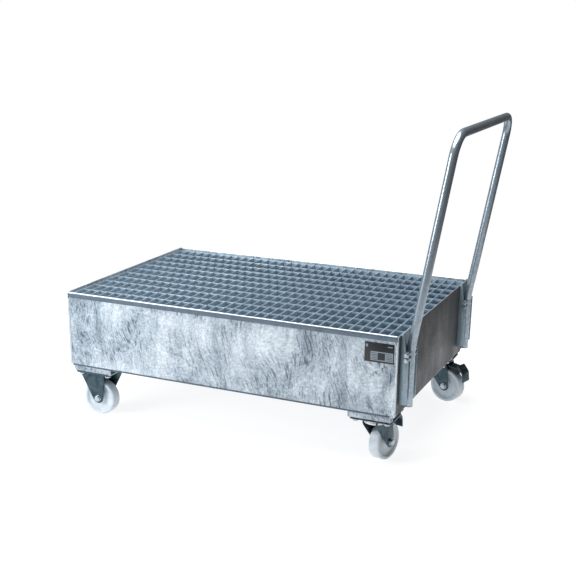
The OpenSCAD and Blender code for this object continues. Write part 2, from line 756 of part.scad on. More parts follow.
tray_shell();
front_wall();
rear_wall();
weld_beads();
ledge_front();
ledge_rear();
ledge_left();
ledge_right();
foot_front_left();
foot_rear_left();
foot_front_right();
foot_rear_right();
label_plate();
bearing_bars();
cross_bars();
grating_frame();
handle_tube();
tube_end_caps();
bracket_front();
bracket_rear();
handle_bolts();
handle_nuts();
handle_spacers();
castor_bolts();
castor_nuts();
castor_washers();
fixed_fork_front();
fixed_fork_rear();
fixed_axle_bolts();
fixed_axle_nuts();
fixed_axle_sleeves();
wheel_front_left();
wheel_rear_left();
bush_front_left();
bush_rear_left();
swivel_plate_front();
swivel_plate_rear();
race_front();
race_rear();
race_balls();
king_pins();
swivel_fork_front();
swivel_fork_rear();
swivel_axle_bolt_front();
swivel_axle_bolt_rear();
swivel_axle_nut_front();
swivel_axle_nut_rear();
swivel_axle_sleeve_front();
swivel_axle_sleeve_rear();
brake_pin_front();
brake_pin_rear();
brake_pedal_front();
brake_pedal_rear();
brake_shoe_front();
brake_shoe_rear();
wheel_front_right();
wheel_rear_right();
bush_front_right();
bush_rear_right();
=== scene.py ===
"""Looks of the drum dolly: every visible piece and finish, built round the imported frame."""

import json
import logging
import math
from collections.abc import Callable, Iterable, Iterator, Sequence
from contextlib import contextmanager
from dataclasses import dataclass, field
from enum import Enum

import bmesh
import bpy
from mathutils import Matrix, Vector


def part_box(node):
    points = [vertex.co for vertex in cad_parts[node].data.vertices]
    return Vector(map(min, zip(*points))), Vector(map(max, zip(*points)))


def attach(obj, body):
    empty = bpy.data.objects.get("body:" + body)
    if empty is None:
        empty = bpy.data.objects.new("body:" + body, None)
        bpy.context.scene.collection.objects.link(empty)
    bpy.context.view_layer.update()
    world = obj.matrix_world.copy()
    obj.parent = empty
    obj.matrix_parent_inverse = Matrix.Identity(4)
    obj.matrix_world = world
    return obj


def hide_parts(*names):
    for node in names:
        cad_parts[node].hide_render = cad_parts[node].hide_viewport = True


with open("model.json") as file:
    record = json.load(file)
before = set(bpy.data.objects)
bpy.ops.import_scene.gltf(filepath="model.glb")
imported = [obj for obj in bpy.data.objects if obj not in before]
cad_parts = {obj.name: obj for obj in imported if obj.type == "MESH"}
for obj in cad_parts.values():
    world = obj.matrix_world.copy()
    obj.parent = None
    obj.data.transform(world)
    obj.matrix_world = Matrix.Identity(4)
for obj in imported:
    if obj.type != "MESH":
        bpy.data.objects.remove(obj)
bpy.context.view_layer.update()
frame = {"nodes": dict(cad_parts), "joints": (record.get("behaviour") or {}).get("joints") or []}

log = logging.getLogger("drum_dolly")
MM = 0.001
Point = tuple[float, float]


# ---------- modelling by hand ----------


def mm(x: float, y: float, z: float) -> Vector:
    """Point or distance given in millimetres, in metres."""
    return Vector((x, y, z)) * MM


def deselect() -> None:
    """Leaves edit mode and drops the selection, which loading the frame leaves full."""
    if bpy.context.object and bpy.context.object.mode != "OBJECT":
        bpy.ops.object.mode_set(mode="OBJECT")
    bpy.ops.object.select_all(action="DESELECT")


def only(piece: bpy.types.Object) -> None:
    """Selects one piece and makes it active."""
    deselect()
    piece.select_set(True)
    bpy.context.view_layer.objects.active = piece


def settle(name: str) -> bpy.types.Object:
    """Names the primitive that was just added and applies its place to its mesh.

    Args:
        name: name of the piece.

    Returns:
        The piece, with its object at the origin.
    """
    piece = bpy.context.object
    piece.name = piece.data.name = name
    bpy.ops.object.transform_apply(location=True, rotation=True, scale=True)
    return piece


@contextmanager
def editing(piece: bpy.types.Object) -> Iterator[None]:
    """Edit mode on one piece with everything selected.

    Args:
        piece: piece to edit.

    Yields:
        Nothing; object mode is back afterwards.
    """
    only(piece)
    bpy.ops.object.mode_set(mode="EDIT")
    bpy.ops.mesh.select_all(action="SELECT")
    yield
    bpy.ops.object.mode_set(mode="OBJECT")


class Part(Enum):
    """What a pick selects in edit mode."""

    VERT = "VERT"
    EDGE = "EDGE"
    FACE = "FACE"


def pick(piece: bpy.types.Object, part: Part, test: Callable[[Vector, Vector], bool]) -> int:
    """Selects the vertices, edges or faces of a piece in edit mode by their place and direction.

    Args:
        piece: piece in edit mode.
        part: what to select.
        test: gets an element's middle in mm and its normal, or an edge's direction.

    Returns:
        How many elements are selected.
    """
    bpy.ops.mesh.select_mode(type=part.value)
    bpy.ops.mesh.select_all(action="DESELECT")
    shape = bmesh.from_edit_mesh(piece.data)
    count = 0
    elements = {Part.VERT: shape.verts, Part.EDGE: shape.edges, Part.FACE: shape.faces}[part]
    for element in elements:
        if part is Part.VERT:
            middle, way = element.co, element.normal
        elif part is Part.EDGE:
            a, b = element.verts
            middle, way = (a.co + b.co) / 2, (b.co - a.co).normalized()
        else:
            middle, way = element.calc_center_median(), element.normal
        if test(middle / MM, way):
            element.select_set(True)
            count += 1
    bmesh.update_edit_mesh(piece.data)
    return count


def block(name: str, low: Vector, high: Vector) -> bpy.types.Object:
    """Box between two corners.

    Args:
        name: name of the piece.
        low: lowest corner.
        high: highest corner.

    Returns:
        The box.
    """
    deselect()
    bpy.ops.mesh.primitive_cube_add(size=1, location=(low + high) / 2, scale=high - low)
    return settle(name)


def rod(name: str, start: Vector, end: Vector, radius: float, sides: int = 32) -> bpy.types.Object:
    """Round or many-sided bar between two points.

    Args:
        name: name of the piece.
        start: centre of one end.
        end: centre of the other end.
        radius: radius to the corners, in metres.
        sides: number of sides.

    Returns:
        The bar.
    """
    deselect()
    way = end - start
    bpy.ops.mesh.primitive_cylinder_add(
        vertices=sides, radius=radius, depth=way.length,
        location=(start + end) / 2, rotation=way.to_track_quat("Z", "Y").to_euler(),
    )
    return settle(name)


class Plane(Enum):
    """Plane that an outline is drawn in: the axes of its two coordinates, then of its depth."""

    XY = (Vector((1, 0, 0)), Vector((0, 1, 0)), Vector((0, 0, 1)))
    XZ = (Vector((1, 0, 0)), Vector((0, 0, 1)), Vector((0, 1, 0)))
    YZ = (Vector((0, 1, 0)), Vector((0, 0, 1)), Vector((1, 0, 0)))


def outline(
    name: str, corners: Sequence[Point], plane: Plane, depth: float, filled: bool
) -> bpy.types.Object:
    """Closed outline, drawn by pulling the corners of a ring to their places.

    Args:
        name: name of the piece.
        corners: the outline's corners in mm, in order.
        plane: plane of the outline.
        depth: place of that plane along its depth axis, in mm.
        filled: True for a face, False for its edge only.

    Returns:
        The outline.
    """
    deselect()
    bpy.ops.mesh.primitive_circle_add(
        vertices=len(corners), radius=MM, fill_type="NGON" if filled else "NOTHING"
    )
    piece = settle(name)
    across, up, deep = plane.value
    with editing(piece):
        bpy.ops.mesh.select_mode(type="VERT")
        shape = bmesh.from_edit_mesh(piece.data)
        for i, (a, b) in enumerate(corners):
            bpy.ops.mesh.select_all(action="DESELECT")
            shape.verts.ensure_lookup_table()
            shape.verts[i].select_set(True)
            goal = (across * a + up * b + deep * depth) * MM
            bpy.ops.transform.translate(value=goal - shape.verts[i].co)
    return piece


def face_outwards(piece: bpy.types.Object) -> None:
    """Merges doubled points and turns every face of a closed piece outwards."""
    with editing(piece):
        bpy.ops.mesh.remove_doubles(threshold=1e-6)
        bpy.ops.mesh.normals_make_consistent(inside=False)


def slab(name: str, corners: Sequence[Point], plane: Plane, start: float, end: float) -> bpy.types.Object:
    """Outline extruded to a solid.

    Args:
        name: name of the piece.
        corners: the outline's corners in mm, in order.
        plane: plane of the outline.
        start: where the solid starts along the plane's depth axis, in mm.
        end: where it ends, in mm.

    Returns:
        The solid.
    """
    piece = outline(name, corners, plane, start, True)
    with editing(piece):
        step = plane.value[2] * (end - start) * MM
        bpy.ops.mesh.extrude_region_move(TRANSFORM_OT_translate={"value": step})
    face_outwards(piece)
    return piece


def turned(name: str, profile: Sequence[Point], plane: Plane, steps: int = 64) -> bpy.types.Object:
    """Ring made by spinning a closed profile about the plane's second axis.

    Args:
        name: name of the piece.
        profile: the profile's corners in mm: radius, then place along the axis.
        plane: plane of the profile.
        steps: number of steps round.

    Returns:
        The ring.
    """
    piece = outline(name, profile, plane, 0, False)
    with editing(piece):
        bpy.ops.mesh.spin(steps=steps, angle=math.tau, center=(0, 0, 0), axis=plane.value[1])
    face_outwards(piece)
    return piece


def arc(centre: Point, radius: float, start: float, end: float, steps: int) -> list[Point]:
    """Points along an arc.

    Args:
        centre: centre of the arc.
        radius: its radius.
        start: first angle in degrees.
        end: last angle in degrees.
        steps: number of steps between them.

    Returns:
        The points, both ends included.
    """
    angles = [math.radians(start + (end - start) * i / steps) for i in range(steps + 1)]
    return [(centre[0] + radius * math.cos(a), centre[1] + radius * math.sin(a)) for a in angles]


def cut(piece: bpy.types.Object, point: Vector, normal: tuple[float, float, float]) -> None:
    """Saws off all that lies beyond a plane and closes the cut.

    Args:
        piece: piece to saw.
        point: a point of the plane.
        normal: direction of the waste.
    """
    with editing(piece):
        bpy.ops.mesh.bisect(plane_co=point, plane_no=normal, use_fill=True, clear_outer=True)


def modify(piece: bpy.types.Object, kind: str, **settings: object) -> None:
    """Adds a modifier with its settings and applies it.

    Args:
        piece: piece to change.
        kind: Blender's name of the modifier's type.
        **settings: its settings.
    """
    only(piece)
    modifier = piece.modifiers.new(kind.lower(), kind)
    for name, value in settings.items():
        setattr(modifier, name, value)
    bpy.ops.object.modifier_apply(modifier=modifier.name)


def smooth(piece: bpy.types.Object, angle: float = 32) -> bpy.types.Object:
    """Smooth shading across every edge flatter than an angle in degrees; returns the piece."""
    only(piece)
    bpy.ops.object.shade_smooth_by_angle(angle=math.radians(angle))
    return piece


def soften(piece: bpy.types.Object, radius: float, steps: int = 2, angle: float = 32) -> bpy.types.Object:
    """Rounds the sharp edges of a piece.

    Args:
        piece: piece to round.
        radius: radius of the edges in mm.
        steps: number of faces across a rounded edge.
        angle: smallest angle of an edge that is rounded, in degrees.

    Returns:
        The piece.
    """
    modify(
        piece, "BEVEL", width=radius * MM, segments=steps, limit_method="ANGLE",
        angle_limit=math.radians(angle), miter_outer="MITER_ARC", use_clamp_overlap=True,
    )
    return smooth(piece)


def row_of(piece: bpy.types.Object, count: int, step: Vector) -> None:
    """Repeats a piece in a straight row.

    Args:
        piece: first one of the row, which becomes the whole row.
        count: how many there are.
        step: distance from one to the next, in metres.
    """
    modify(
        piece, "ARRAY", count=count, use_relative_offset=False,
        use_constant_offset=True, constant_offset_displace=step,
    )


def join(name: str, pieces: Sequence[bpy.types.Object]) -> bpy.types.Object:
    """Joins pieces into one.

    Args:
        name: name of the whole.
        pieces: the pieces.

    Returns:
        The whole.
    """
    only(pieces[0])
    for piece in pieces[1:]:
        piece.select_set(True)
    bpy.ops.object.join()
    pieces[0].name = pieces[0].data.name = name
    return pieces[0]


def place(piece: bpy.types.Object, matrix: Matrix) -> bpy.types.Object:
    """Moves a piece's mesh by a matrix, turning its faces back out if the matrix mirrors it; returns it."""
    piece.data.transform(matrix)
    if matrix.determinant() < 0:
        piece.data.flip_normals()
    piece.data.update()
    return piece


def clone(piece: bpy.types.Object, name: str, matrix: Matrix) -> bpy.types.Object:
    """Copy of a piece, with its own mesh, at another place.

    Args:
        piece: piece to copy.
        name: name of the copy.
        matrix: where the copy goes, from where the piece is.

    Returns:
        The copy.
    """
    copy = piece.copy()
    copy.data = piece.data.copy()
    copy.name = copy.data.name = name
    bpy.context.scene.collection.objects.link(copy)
    return place(copy, matrix)


def clones(piece: bpy.types.Object, name: str, matrices: Iterable[Matrix]) -> bpy.types.Object:
    """One piece made of copies of a pattern piece, which is used up.

    Args:
        piece: pattern piece.
        name: name of the whole.
        matrices: where each copy goes.

    Returns:
        The whole.
    """
    copies = [clone(piece, f"{name}_{i}", matrix) for i, matrix in enumerate(matrices)]
    bpy.data.objects.remove(piece)
    return join(name, copies)


def fit(piece: bpy.types.Object, body: str, finish: "Finish", *nodes: str) -> bpy.types.Object:
    """Hands a finished piece over to the frame.

    Args:
        piece: finished piece.
        body: body of the frame that it rides on.
        finish: its finish.
        *nodes: nodes of the frame that it stands for.

    Returns:
        The piece.
    """
    if not piece.data.materials:
        piece.data.materials.append(finish.material())
    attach(piece, body)
    if nodes:
        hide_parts(*nodes)
    log.info("%s on %s: %d faces", piece.name, body, len(piece.data.polygons))
    return piece


def top_of(node: str) -> Vector:
    """Middle of the top of a node's box."""
    low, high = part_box(node)
    return Vector(((low.x + high.x) / 2, (low.y + high.y) / 2, high.z))


def dress_node(name: str, finish: "Finish") -> None:
    """Gives a node of the frame, whose shape is right, its finish."""
    node = frame["nodes"][name]
    node.data.materials.clear()
    node.data.materials.append(finish.material())
    log.info("%s keeps its shape", name)


# ---------- finishes ----------


def rgba(code: str) -> tuple[float, float, float, float]:
    """Linear colour of an sRGB hex code such as #a0b0c0."""
    parts = [int(code[i : i + 2], 16) / 255 for i in (1, 3, 5)]
    linear = [c / 12.92 if c <= 0.04045 else ((c + 0.055) / 1.055) ** 2.4 for c in parts]
    return (linear[0], linear[1], linear[2], 1.0)


def add_node(
    tree: bpy.types.NodeTree,
    kind: str,
    inputs: dict[str | int, object] | None = None,
    stops: Sequence[tuple[float, str]] = (),
    **settings: object,
) -> bpy.types.Node:
    """Adds one node with its settings, values and links.

    Args:
        tree: node tree that gets it.
        kind: the node's type, without ShaderNode in front.
        inputs: value or linked socket of each input, by name or number.
        stops: places and hex colours of a colour ramp.
        **settings: the node's own settings.

    Returns:
        The node.
    """
    node = tree.nodes.new("ShaderNode" + kind)
    for name, value in settings.items():
        setattr(node, name, value)
    for name, value in (inputs or {}).items():
        if isinstance(value, bpy.types.NodeSocket):
            tree.links.new(value, node.inputs[name])
        else:
            node.inputs[name].default_value = value
    if stops:
        ramp = node.color_ramp
        while len(ramp.elements) < len(stops):
            ramp.elements.new(0.5)
        for element, (position, code) in zip(ramp.elements, stops):
            element.position, element.color = position, rgba(code)
    return node


def per_mm(size: float) -> float:
    """Noise scale whose features are about this many mm across."""
    return 1 / (size * MM)


@dataclass(frozen=True)
class Finish:
    """A finish: its name, the record's slot, and what is the same all over it."""

    name: str
    slot: str
    metallic: float = 0.0
    roughness: float = 0.5

    def material(self) -> bpy.types.Material:
        """The finish as a material, made once and shared."""
        known = bpy.data.materials.get(self.name)
        if known:
            return known
        made = bpy.data.materials.new(self.name)
        made.use_nodes = True
        tree = made.node_tree
        shader = tree.nodes["Principled BSDF"]
        shader.inputs["Metallic"].default_value = self.metallic
        shader.inputs["Roughness"].default_value = self.roughness
        self.paint(tree, shader, add_node(tree, "TexCoord").outputs["Object"])
        return made

    def paint(self, tree: bpy.types.NodeTree, shader: bpy.types.Node, where: bpy.types.NodeSocket) -> None:
        """Adds the nodes of the finish; each finish has its own.

        Args:
            tree: the material's nodes.
            shader: its shader.
            where: object coordinates, in metres.
        """
        raise NotImplementedError


def noise(
    tree: bpy.types.NodeTree, where: bpy.types.NodeSocket, size: float, detail: float, roughness: float = 0.5
) -> bpy.types.NodeSocket:
    """Noise with features of about a size.

    Args:
        tree: the material's nodes.
        where: coordinates in metres.
        size: size of a feature in mm.
        detail: number of finer layers.
        roughness: how strong the finer layers are.

    Returns:
        The noise, from 0 to 1.
    """
    inputs = {"Vector": where, "Scale": per_mm(size), "Detail": detail, "Roughness": roughness}
    return add_node(tree, "TexNoise", inputs).outputs[0]


def ranged(
    tree: bpy.types.NodeTree, value: bpy.types.NodeSocket, source: Point, goal: Point
) -> bpy.types.NodeSocket:
    """Value carried from one range to another.

    Args:
        tree: the material's nodes.
        value: the value.
        source: start and end of the range that it comes from.
        goal: what they become.

    Returns:
        The value in its new range.
    """
    inputs = {
        "Value": value, "From Min": source[0], "From Max": source[1], "To Min": goal[0], "To Max": goal[1]
    }
    return add_node(tree, "MapRange", inputs).outputs[0]


def tint(
    tree: bpy.types.NodeTree, shader: bpy.types.Node, value: bpy.types.NodeSocket, *stops: tuple[float, str]
) -> None:
    """Colours the surface by a value.

    Args:
        tree: the material's nodes.
        shader: its shader.
        value: the value.
        *stops: places and hex colours of the ramp.
    """
    ramp = add_node(tree, "ValToRGB", {0: value}, stops=stops)
    tree.links.new(ramp.outputs[0], shader.inputs["Base Color"])


def bump(
    tree: bpy.types.NodeTree, shader: bpy.types.Node, height: bpy.types.NodeSocket, depth: float
) -> None:
    """Raises the surface by a height socket.

    Args:
        tree: the material's nodes.
        shader: its shader.
        height: height from 0 to 1.
        depth: depth in mm that 0 to 1 stands for.
    """
    node = add_node(tree, "Bump", {"Height": height, "Distance": depth * MM, "Strength": 1.0})
    tree.links.new(node.outputs["Normal"], shader.inputs["Normal"])


def stretched(
    tree: bpy.types.NodeTree, where: bpy.types.NodeSocket, width: float, length: float, detail: float
) -> bpy.types.NodeSocket:
    """Noise drawn out upright.

    Args:
        tree: the material's nodes.
        where: coordinates in metres.
        width: width of a feature in mm.
        length: height of a feature in mm.
        detail: number of finer layers.

    Returns:
        The noise, from 0 to 1.
    """
    drawn = add_node(
        tree, "Mapping", {"Vector": where, "Scale": (per_mm(width), per_mm(width), per_mm(length))}
    )
    noise = add_node(tree, "TexNoise", {"Vector": drawn.outputs[0], "Scale": 1.0, "Detail": detail})
    return noise.outputs[0]


@dataclass(frozen=True)
class DippedSheet(Finish):
    """Hot-dip galvanised sheet steel. The zinc ran off as the tray was lifted from the bath, which
    gives the eye thin, dark, nearly upright strokes like feathers on a mottled, pale blue-grey
    ground, with large clouds and upright drips of brighter zinc."""

    dark: str = "#7b8792"
    middle: str = "#a9b5bf"
    light: str = "#dae2e8"
    stroke: str = "#4a5763"
    stroke_w: float = 6.0  # mm across a stroke; the real ones are half that and wouldn't show
    stroke_l: float = 55.0  # mm along a stroke
    drip_w: float = 34.0  # mm across a drip
    drip_l: float = 260.0  # mm along a drip
    cloud: float = 120.0  # mm across a cloud
    mottle: float = 7.0  # mm across a speck of the mottle
    strokes: float = 0.85  # how strongly the strokes show
    lean: float = 14.0  # degrees from upright
    relief: float = 0.15  # mm

    def paint(self, tree: bpy.types.NodeTree, shader: bpy.types.Node, where: bpy.types.NodeSocket) -> None:
        """Bends the coordinates, draws clouds, drips, mottle and strokes, and mixes them."""
        sway = add_node(tree, "TexNoise", {"Vector": where, "Scale": per_mm(230), "Detail": 1.0})
        centred = add_node(
            tree, "VectorMath", {0: sway.outputs["Color"], 1: (0.5, 0.5, 0.5)}, operation="SUBTRACT"
        )
        swayed = add_node(
            tree, "VectorMath", {0: centred.outputs[0], 1: (0.13, 0.13, 0.04), 2: where},
            operation="MULTIPLY_ADD",
        )
        leaning = add_node(
            tree, "Mapping",
            {"Vector": swayed.outputs[0],
             "Rotation": (math.radians(self.lean / 3), math.radians(self.lean), 0)},
        )
        strokes = stretched(tree, leaning.outputs[0], self.stroke_w, self.stroke_l, 3.0)
        drips = stretched(tree, swayed.outputs[0], self.drip_w, self.drip_l, 3.0)
        clouds = noise(tree, swayed.outputs[0], self.cloud, 4.0)
        mottle = noise(tree, leaning.outputs[0], self.mottle, 3.0, 0.6)
        tone = add_node(tree, "Math", {0: clouds, 1: 0.36}, operation="MULTIPLY")
        for part, share in ((drips, 0.26), (mottle, 0.38)):
            tone = add_node(tree, "Math", {0: part, 1: share, 2: tone.outputs[0]}, operation="MULTIPLY_ADD")
        ramp = add_node(
            tree, "ValToRGB", {0: tone.outputs[0]},
            stops=((0.37, self.dark), (0.50, self.middle), (0.64, self.light)),
        )
        line = ranged(tree, strokes, (0.47, 0.36), (0.0, 1.0))
        patch = ranged(tree, clouds, (0.62, 0.42), (0.15, self.strokes))
        share = add_node(tree, "Math", {0: line, 1: patch}, operation="MULTIPLY")
        colour = add_node(
            tree, "Mix", {0: share.outputs[0], 6: ramp.outputs[0], 7: rgba(self.stroke)}, data_type="RGBA"
        )
        tree.links.new(colour.outputs[2], shader.inputs["Base Color"])
        dull = ranged(tree, tone.outputs[0], (0.4, 0.62), (self.roughness + 0.12, self.roughness - 0.08))
        tree.links.new(dull, shader.inputs["Roughness"])
        height = add_node(tree, "Math", {0: tone.outputs[0], 1: share.outputs[0]}, operation="SUBTRACT")
        bump(tree, shader, height.outputs[0], self.relief)


@dataclass(frozen=True)
class DippedBar(Finish):
    """Hot-dip galvanised bar or tube. The zinc lies thin and even, so the eye sees a satin metal
    with faint cloudy spangle and small runs along the piece."""

    dark: str = "#76838f"
    light: str = "#a9b5bf"
    spangle: float = 14.0  # mm across a spangle
    relief: float = 0.025  # mm

    def paint(self, tree: bpy.types.NodeTree, shader: bpy.types.Node, where: bpy.types.NodeSocket) -> None:
        """Mixes spangle, small runs and roughness."""
        spangle = noise(tree, where, self.spangle, 4.0, 0.6)
        runs = add_node(
            tree, "Mapping", {"Vector": where, "Scale": (per_mm(8), per_mm(8), per_mm(60))}
        )
        runs = add_node(tree, "TexNoise", {"Vector": runs.outputs[0], "Scale": 0.5, "Detail": 3.0})
        total = add_node(tree, "Math", {0: spangle, 1: runs.outputs[0]}, operation="ADD")
        mean = add_node(tree, "Math", {0: total.outputs[0], 1: 0.5}, operation="MULTIPLY").outputs[0]
        tint(tree, shader, mean, (0.30, self.dark), (0.70, self.light))
        dull = ranged(tree, mean, (0.3, 0.7), (self.roughness + 0.10, self.roughness - 0.08))
        tree.links.new(dull, shader.inputs["Roughness"])
        bump(tree, shader, mean, self.relief)


@dataclass(frozen=True)
class PlatedSteel(Finish):
    """Pressed or turned steel, zinc plated and passivated. The thin clear film gives the eye a smooth
    metal with a slight drift of colour from piece to piece and duller, handled patches."""

    first: str = "#2b4352"
    second: str = "#3d5a6a"
    patch: float = 22.0  # mm across a patch
    grain: float = 1.5  # mm
    relief: float = 0.015  # mm

    def paint(self, tree: bpy.types.NodeTree, shader: bpy.types.Node, where: bpy.types.NodeSocket) -> None:
        """Drifts between two tones and dulls some patches."""
        patches = noise(tree, where, self.patch, 5.0, 0.65)
        tint(tree, shader, patches, (0.35, self.first), (0.66, self.second))
        dull = ranged(tree, patches, (0.3, 0.7), (self.roughness - 0.07, self.roughness + 0.13))
        tree.links.new(dull, shader.inputs["Roughness"])
        bump(tree, shader, noise(tree, where, self.grain, 2.0), self.relief)


@dataclass(frozen=True)
class Moulded(Finish):
    """Injection-moulded plastic or rubber. The eye sees a satin skin with the fine orange-peel of
    the tool, and road dust caught in faint smudges."""

    clean: str = "#e9edef"
    smudge: str = "#c3cace"
    peel: float = 2.2  # mm, drawn coarser than the real 0.5 mm so that it shows
    glow: float = 0.0  # share of light that enters the plastic
    smudge_w: float = 28.0  # mm across a smudge
    relief: float = 0.02  # mm

    def paint(self, tree: bpy.types.NodeTree, shader: bpy.types.Node, where: bpy.types.NodeSocket) -> None:
        """Smudges the colour and lays the orange-peel over it."""
        smudges = noise(tree, where, self.smudge_w, 5.0, 0.6)
        tint(tree, shader, smudges, (0.36, self.smudge), (0.56, self.clean))
        dull = ranged(tree, smudges, (0.3, 0.6), (self.roughness + 0.15, self.roughness - 0.05))
        tree.links.new(dull, shader.inputs["Roughness"])
        bump(tree, shader, noise(tree, where, self.peel, 2.0), self.relief)
        if self.glow:
            shader.inputs["Subsurface Weight"].default_value = self.glow
            shader.inputs["Subsurface Radius"].default_value = (0.004, 0.004, 0.004)


@dataclass(frozen=True)
class PrintedFoil(Finish):
    """Printed polyester foil. The eye sees a flat satin ink with faint rubbed marks."""

    ink: str = "#15181c"
    rubbed: str = "#23282e"

    def paint(self, tree: bpy.types.NodeTree, shader: bpy.types.Node, where: bpy.types.NodeSocket) -> None:
        """Rubs the ink a little."""
        rubs = add_node(tree, "Mapping", {"Vector": where, "Scale": (per_mm(40), per_mm(40), per_mm(9))})
        rubs = add_node(tree, "TexNoise", {"Vector": rubs.outputs[0], "Scale": 0.8, "Detail": 4.0})
        tint(tree, shader, rubs.outputs[0], (0.45, self.ink), (0.75, self.rubbed))
        bump(tree, shader, rubs.outputs[0], 0.01)


SHEET = DippedSheet("dipped_sheet", "galvanised_sheet", 0.60, 0.48)
# Handle end's outer face: a dark copy of the dipped sheet, painted shade for the side turned away from the
# light.
SHADED_END_SHEET = DippedSheet("end_sheet_painted_shade", "galvanised_sheet", 0.60, 0.52, dark="#505355",
                         middle="#5a5d5f", light="#67696b", stroke="#4a4d4f", strokes=0.4, relief=0.06)
EDGE = DippedBar("dipped_edge", "galvanised_sheet", 0.60, 0.40, dark="#8f9ba6", light="#b9c4cc", spangle=20)
# Hem band and ledges: a darker copy of the same zinc, painted shade.
SHADED_FOLD = DippedBar("fold_painted_shade", "galvanised_sheet", 0.75, 0.40, dark="#56636f", light="#6a7783", spangle=30)
# Rolled top of the hem: a light copy of the same zinc, a painted highlight along the roll.
ROLL_HIGHLIGHT = DippedBar("roll_painted_highlight", "galvanised_sheet", 0.45, 0.32, dark="#b3bdc6", light="#ced6dd", spangle=30)
FOOT = DippedSheet("dipped_channel", "galvanised_sheet", 0.60, 0.46, dark="#76828d", middle="#9eaab4",
                   light="#c6cfd7", stroke_l=14, drip_w=16, drip_l=60, cloud=60)
GRATE = DippedBar("dipped_grating", "galvanised_grating", 0.25, 0.40, dark="#7f93a3",
                  light="#a6bac8", spangle=9)
TUBE = DippedBar("dipped_tube", "galvanised_tube", 0.75, 0.28, dark="#83909b", light="#a9b5bf", spangle=12)
BRACKET = DippedBar("dipped_bracket", "galvanised_tube", 0.60, 0.40, dark="#748894",
                    light="#9fb1bc", spangle=10)
BEAD = DippedBar("dipped_weld", "weld_metal", 0.60, 0.40, dark="#9aa6b0", light="#ccd4da", spangle=6)
# Low weld beads at the long walls' feet: a dark copy of the weld finish, painted shade under the walls.
SHADED_LOW_BEAD = DippedBar("low_weld_painted_shade", "weld_metal", 0.60, 0.50, dark="#3f4a54", light="#5d6973",
                     spangle=6)
BLUE_ZINC = PlatedSteel("blue_passivated_steel", "blue_zinc_steel", 0.85, 0.28, first="#2c3a42",
                        second="#4d6069")
RACE_STEEL = PlatedSteel("rolled_race_steel", "bright_zinc_steel", 0.45, 0.34, first="#cbc8c8",
                         second="#e8e5e4")
BRIGHT_ZINC = PlatedSteel("clear_passivated_steel", "bright_zinc_steel", 0.90, 0.28,
                          first="#9aa8b2", second="#c4ced5", patch=8)
BALL_STEEL = PlatedSteel("ground_ball_steel", "polished_steel", 1.0, 0.14, first="#b9bfc4",
                         second="#d2d6da", patch=4)
BRONZE = PlatedSteel("sintered_bronze", "bronze_bush", 0.85, 0.42, first="#8d6c3f", second="#ad8a56", patch=3)
POLYAMIDE = Moulded("moulded_polyamide", "white_polyamide", 0.0, 0.38, clean="#c8d2da", smudge="#bcc6ce",
                    glow=0.12)
BLACK_CAP = Moulded("moulded_polyethylene", "black_plastic", 0.0, 0.50, clean="#1b1d20", smudge="#2c2f33")
RUBBER = Moulded("moulded_rubber", "brake_rubber", 0.0, 0.68, clean="#18191b", smudge="#2a2b2d")
FOIL = PrintedFoil("label_black", "label_foil", 0.0, 0.34)
PRINT = PrintedFoil("label_grey", "label_foil", 0.0, 0.42, ink="#7f8b95", rubbed="#6c7781")


# ---------- fasteners ----------


def hex_head(name: str, base: Vector, way: Vector, flats: float, height: float) -> bpy.types.Object:
    """Hexagon head or nut with its corners chamfered.

    Args:
        name: name of the piece.
        base: centre of its seat, in metres.
        way: direction from its seat to its top.
        flats: width across its flats, in mm.
        height: its height, in mm.

    Returns:
        The head.
    """
    top = base + way * height * MM
    head = rod(name, base, top, flats / 2 / math.cos(math.pi / 6) * MM, 6)
    crown = rod(
        name + "_crown", base + way * (height - 0.1) * MM, top + way * 0.25 * MM, flats * 0.46 * MM, 24
    )
    soften(head, 0.9, 2)
    soften(crown, 0.2, 1)
    return join(name, [head, crown])


def disc_washer(name: str, base: Vector, way: Vector, radius: float, height: float) -> bpy.types.Object:
    """Washer with a rounded edge; its hole is always filled by a shank.

    Args:
        name: name of the piece.
        base: centre of its lower face, in metres.
        way: direction of its thickness.
        radius: its radius in mm.
        height: its thickness in mm.

    Returns:
        The washer.
    """
    return soften(rod(name, base, base + way * height * MM, radius * MM, 40), min(0.5, height / 3), 2)


def threaded_end(name: str, base: Vector, way: Vector, radius: float, length: float) -> bpy.types.Object:
    """End of a bolt that stands out of its nut, with a few turns of thread drawn as ridges.

    Args:
        name: name of the piece.
        base: centre of the end's root, in metres.
        way: direction in which it stands out.
        radius: radius of the thread in mm.
        length: how far it stands out, in mm.

    Returns:
        The end of the bolt.
    """
    core = rod(name, base, base + way * length * MM, radius * 0.86 * MM, 20)
    soften(core, 0.6, 2)
    pitch = 1.5
    turns = max(2, int((length - 1) / pitch))
    ridge = rod(name + "_ridge", base + way * 0.35 * MM, base + way * (0.35 + 0.8) * MM, radius * MM, 20)
    soften(ridge, 0.35, 1)
    row_of(ridge, turns, way * pitch * MM)
    return join(name, [core, smooth(ridge)])


X, Y, Z = Vector((1, 0, 0)), Vector((0, 1, 0)), Vector((0, 0, 1))


# ---------- the tray ----------


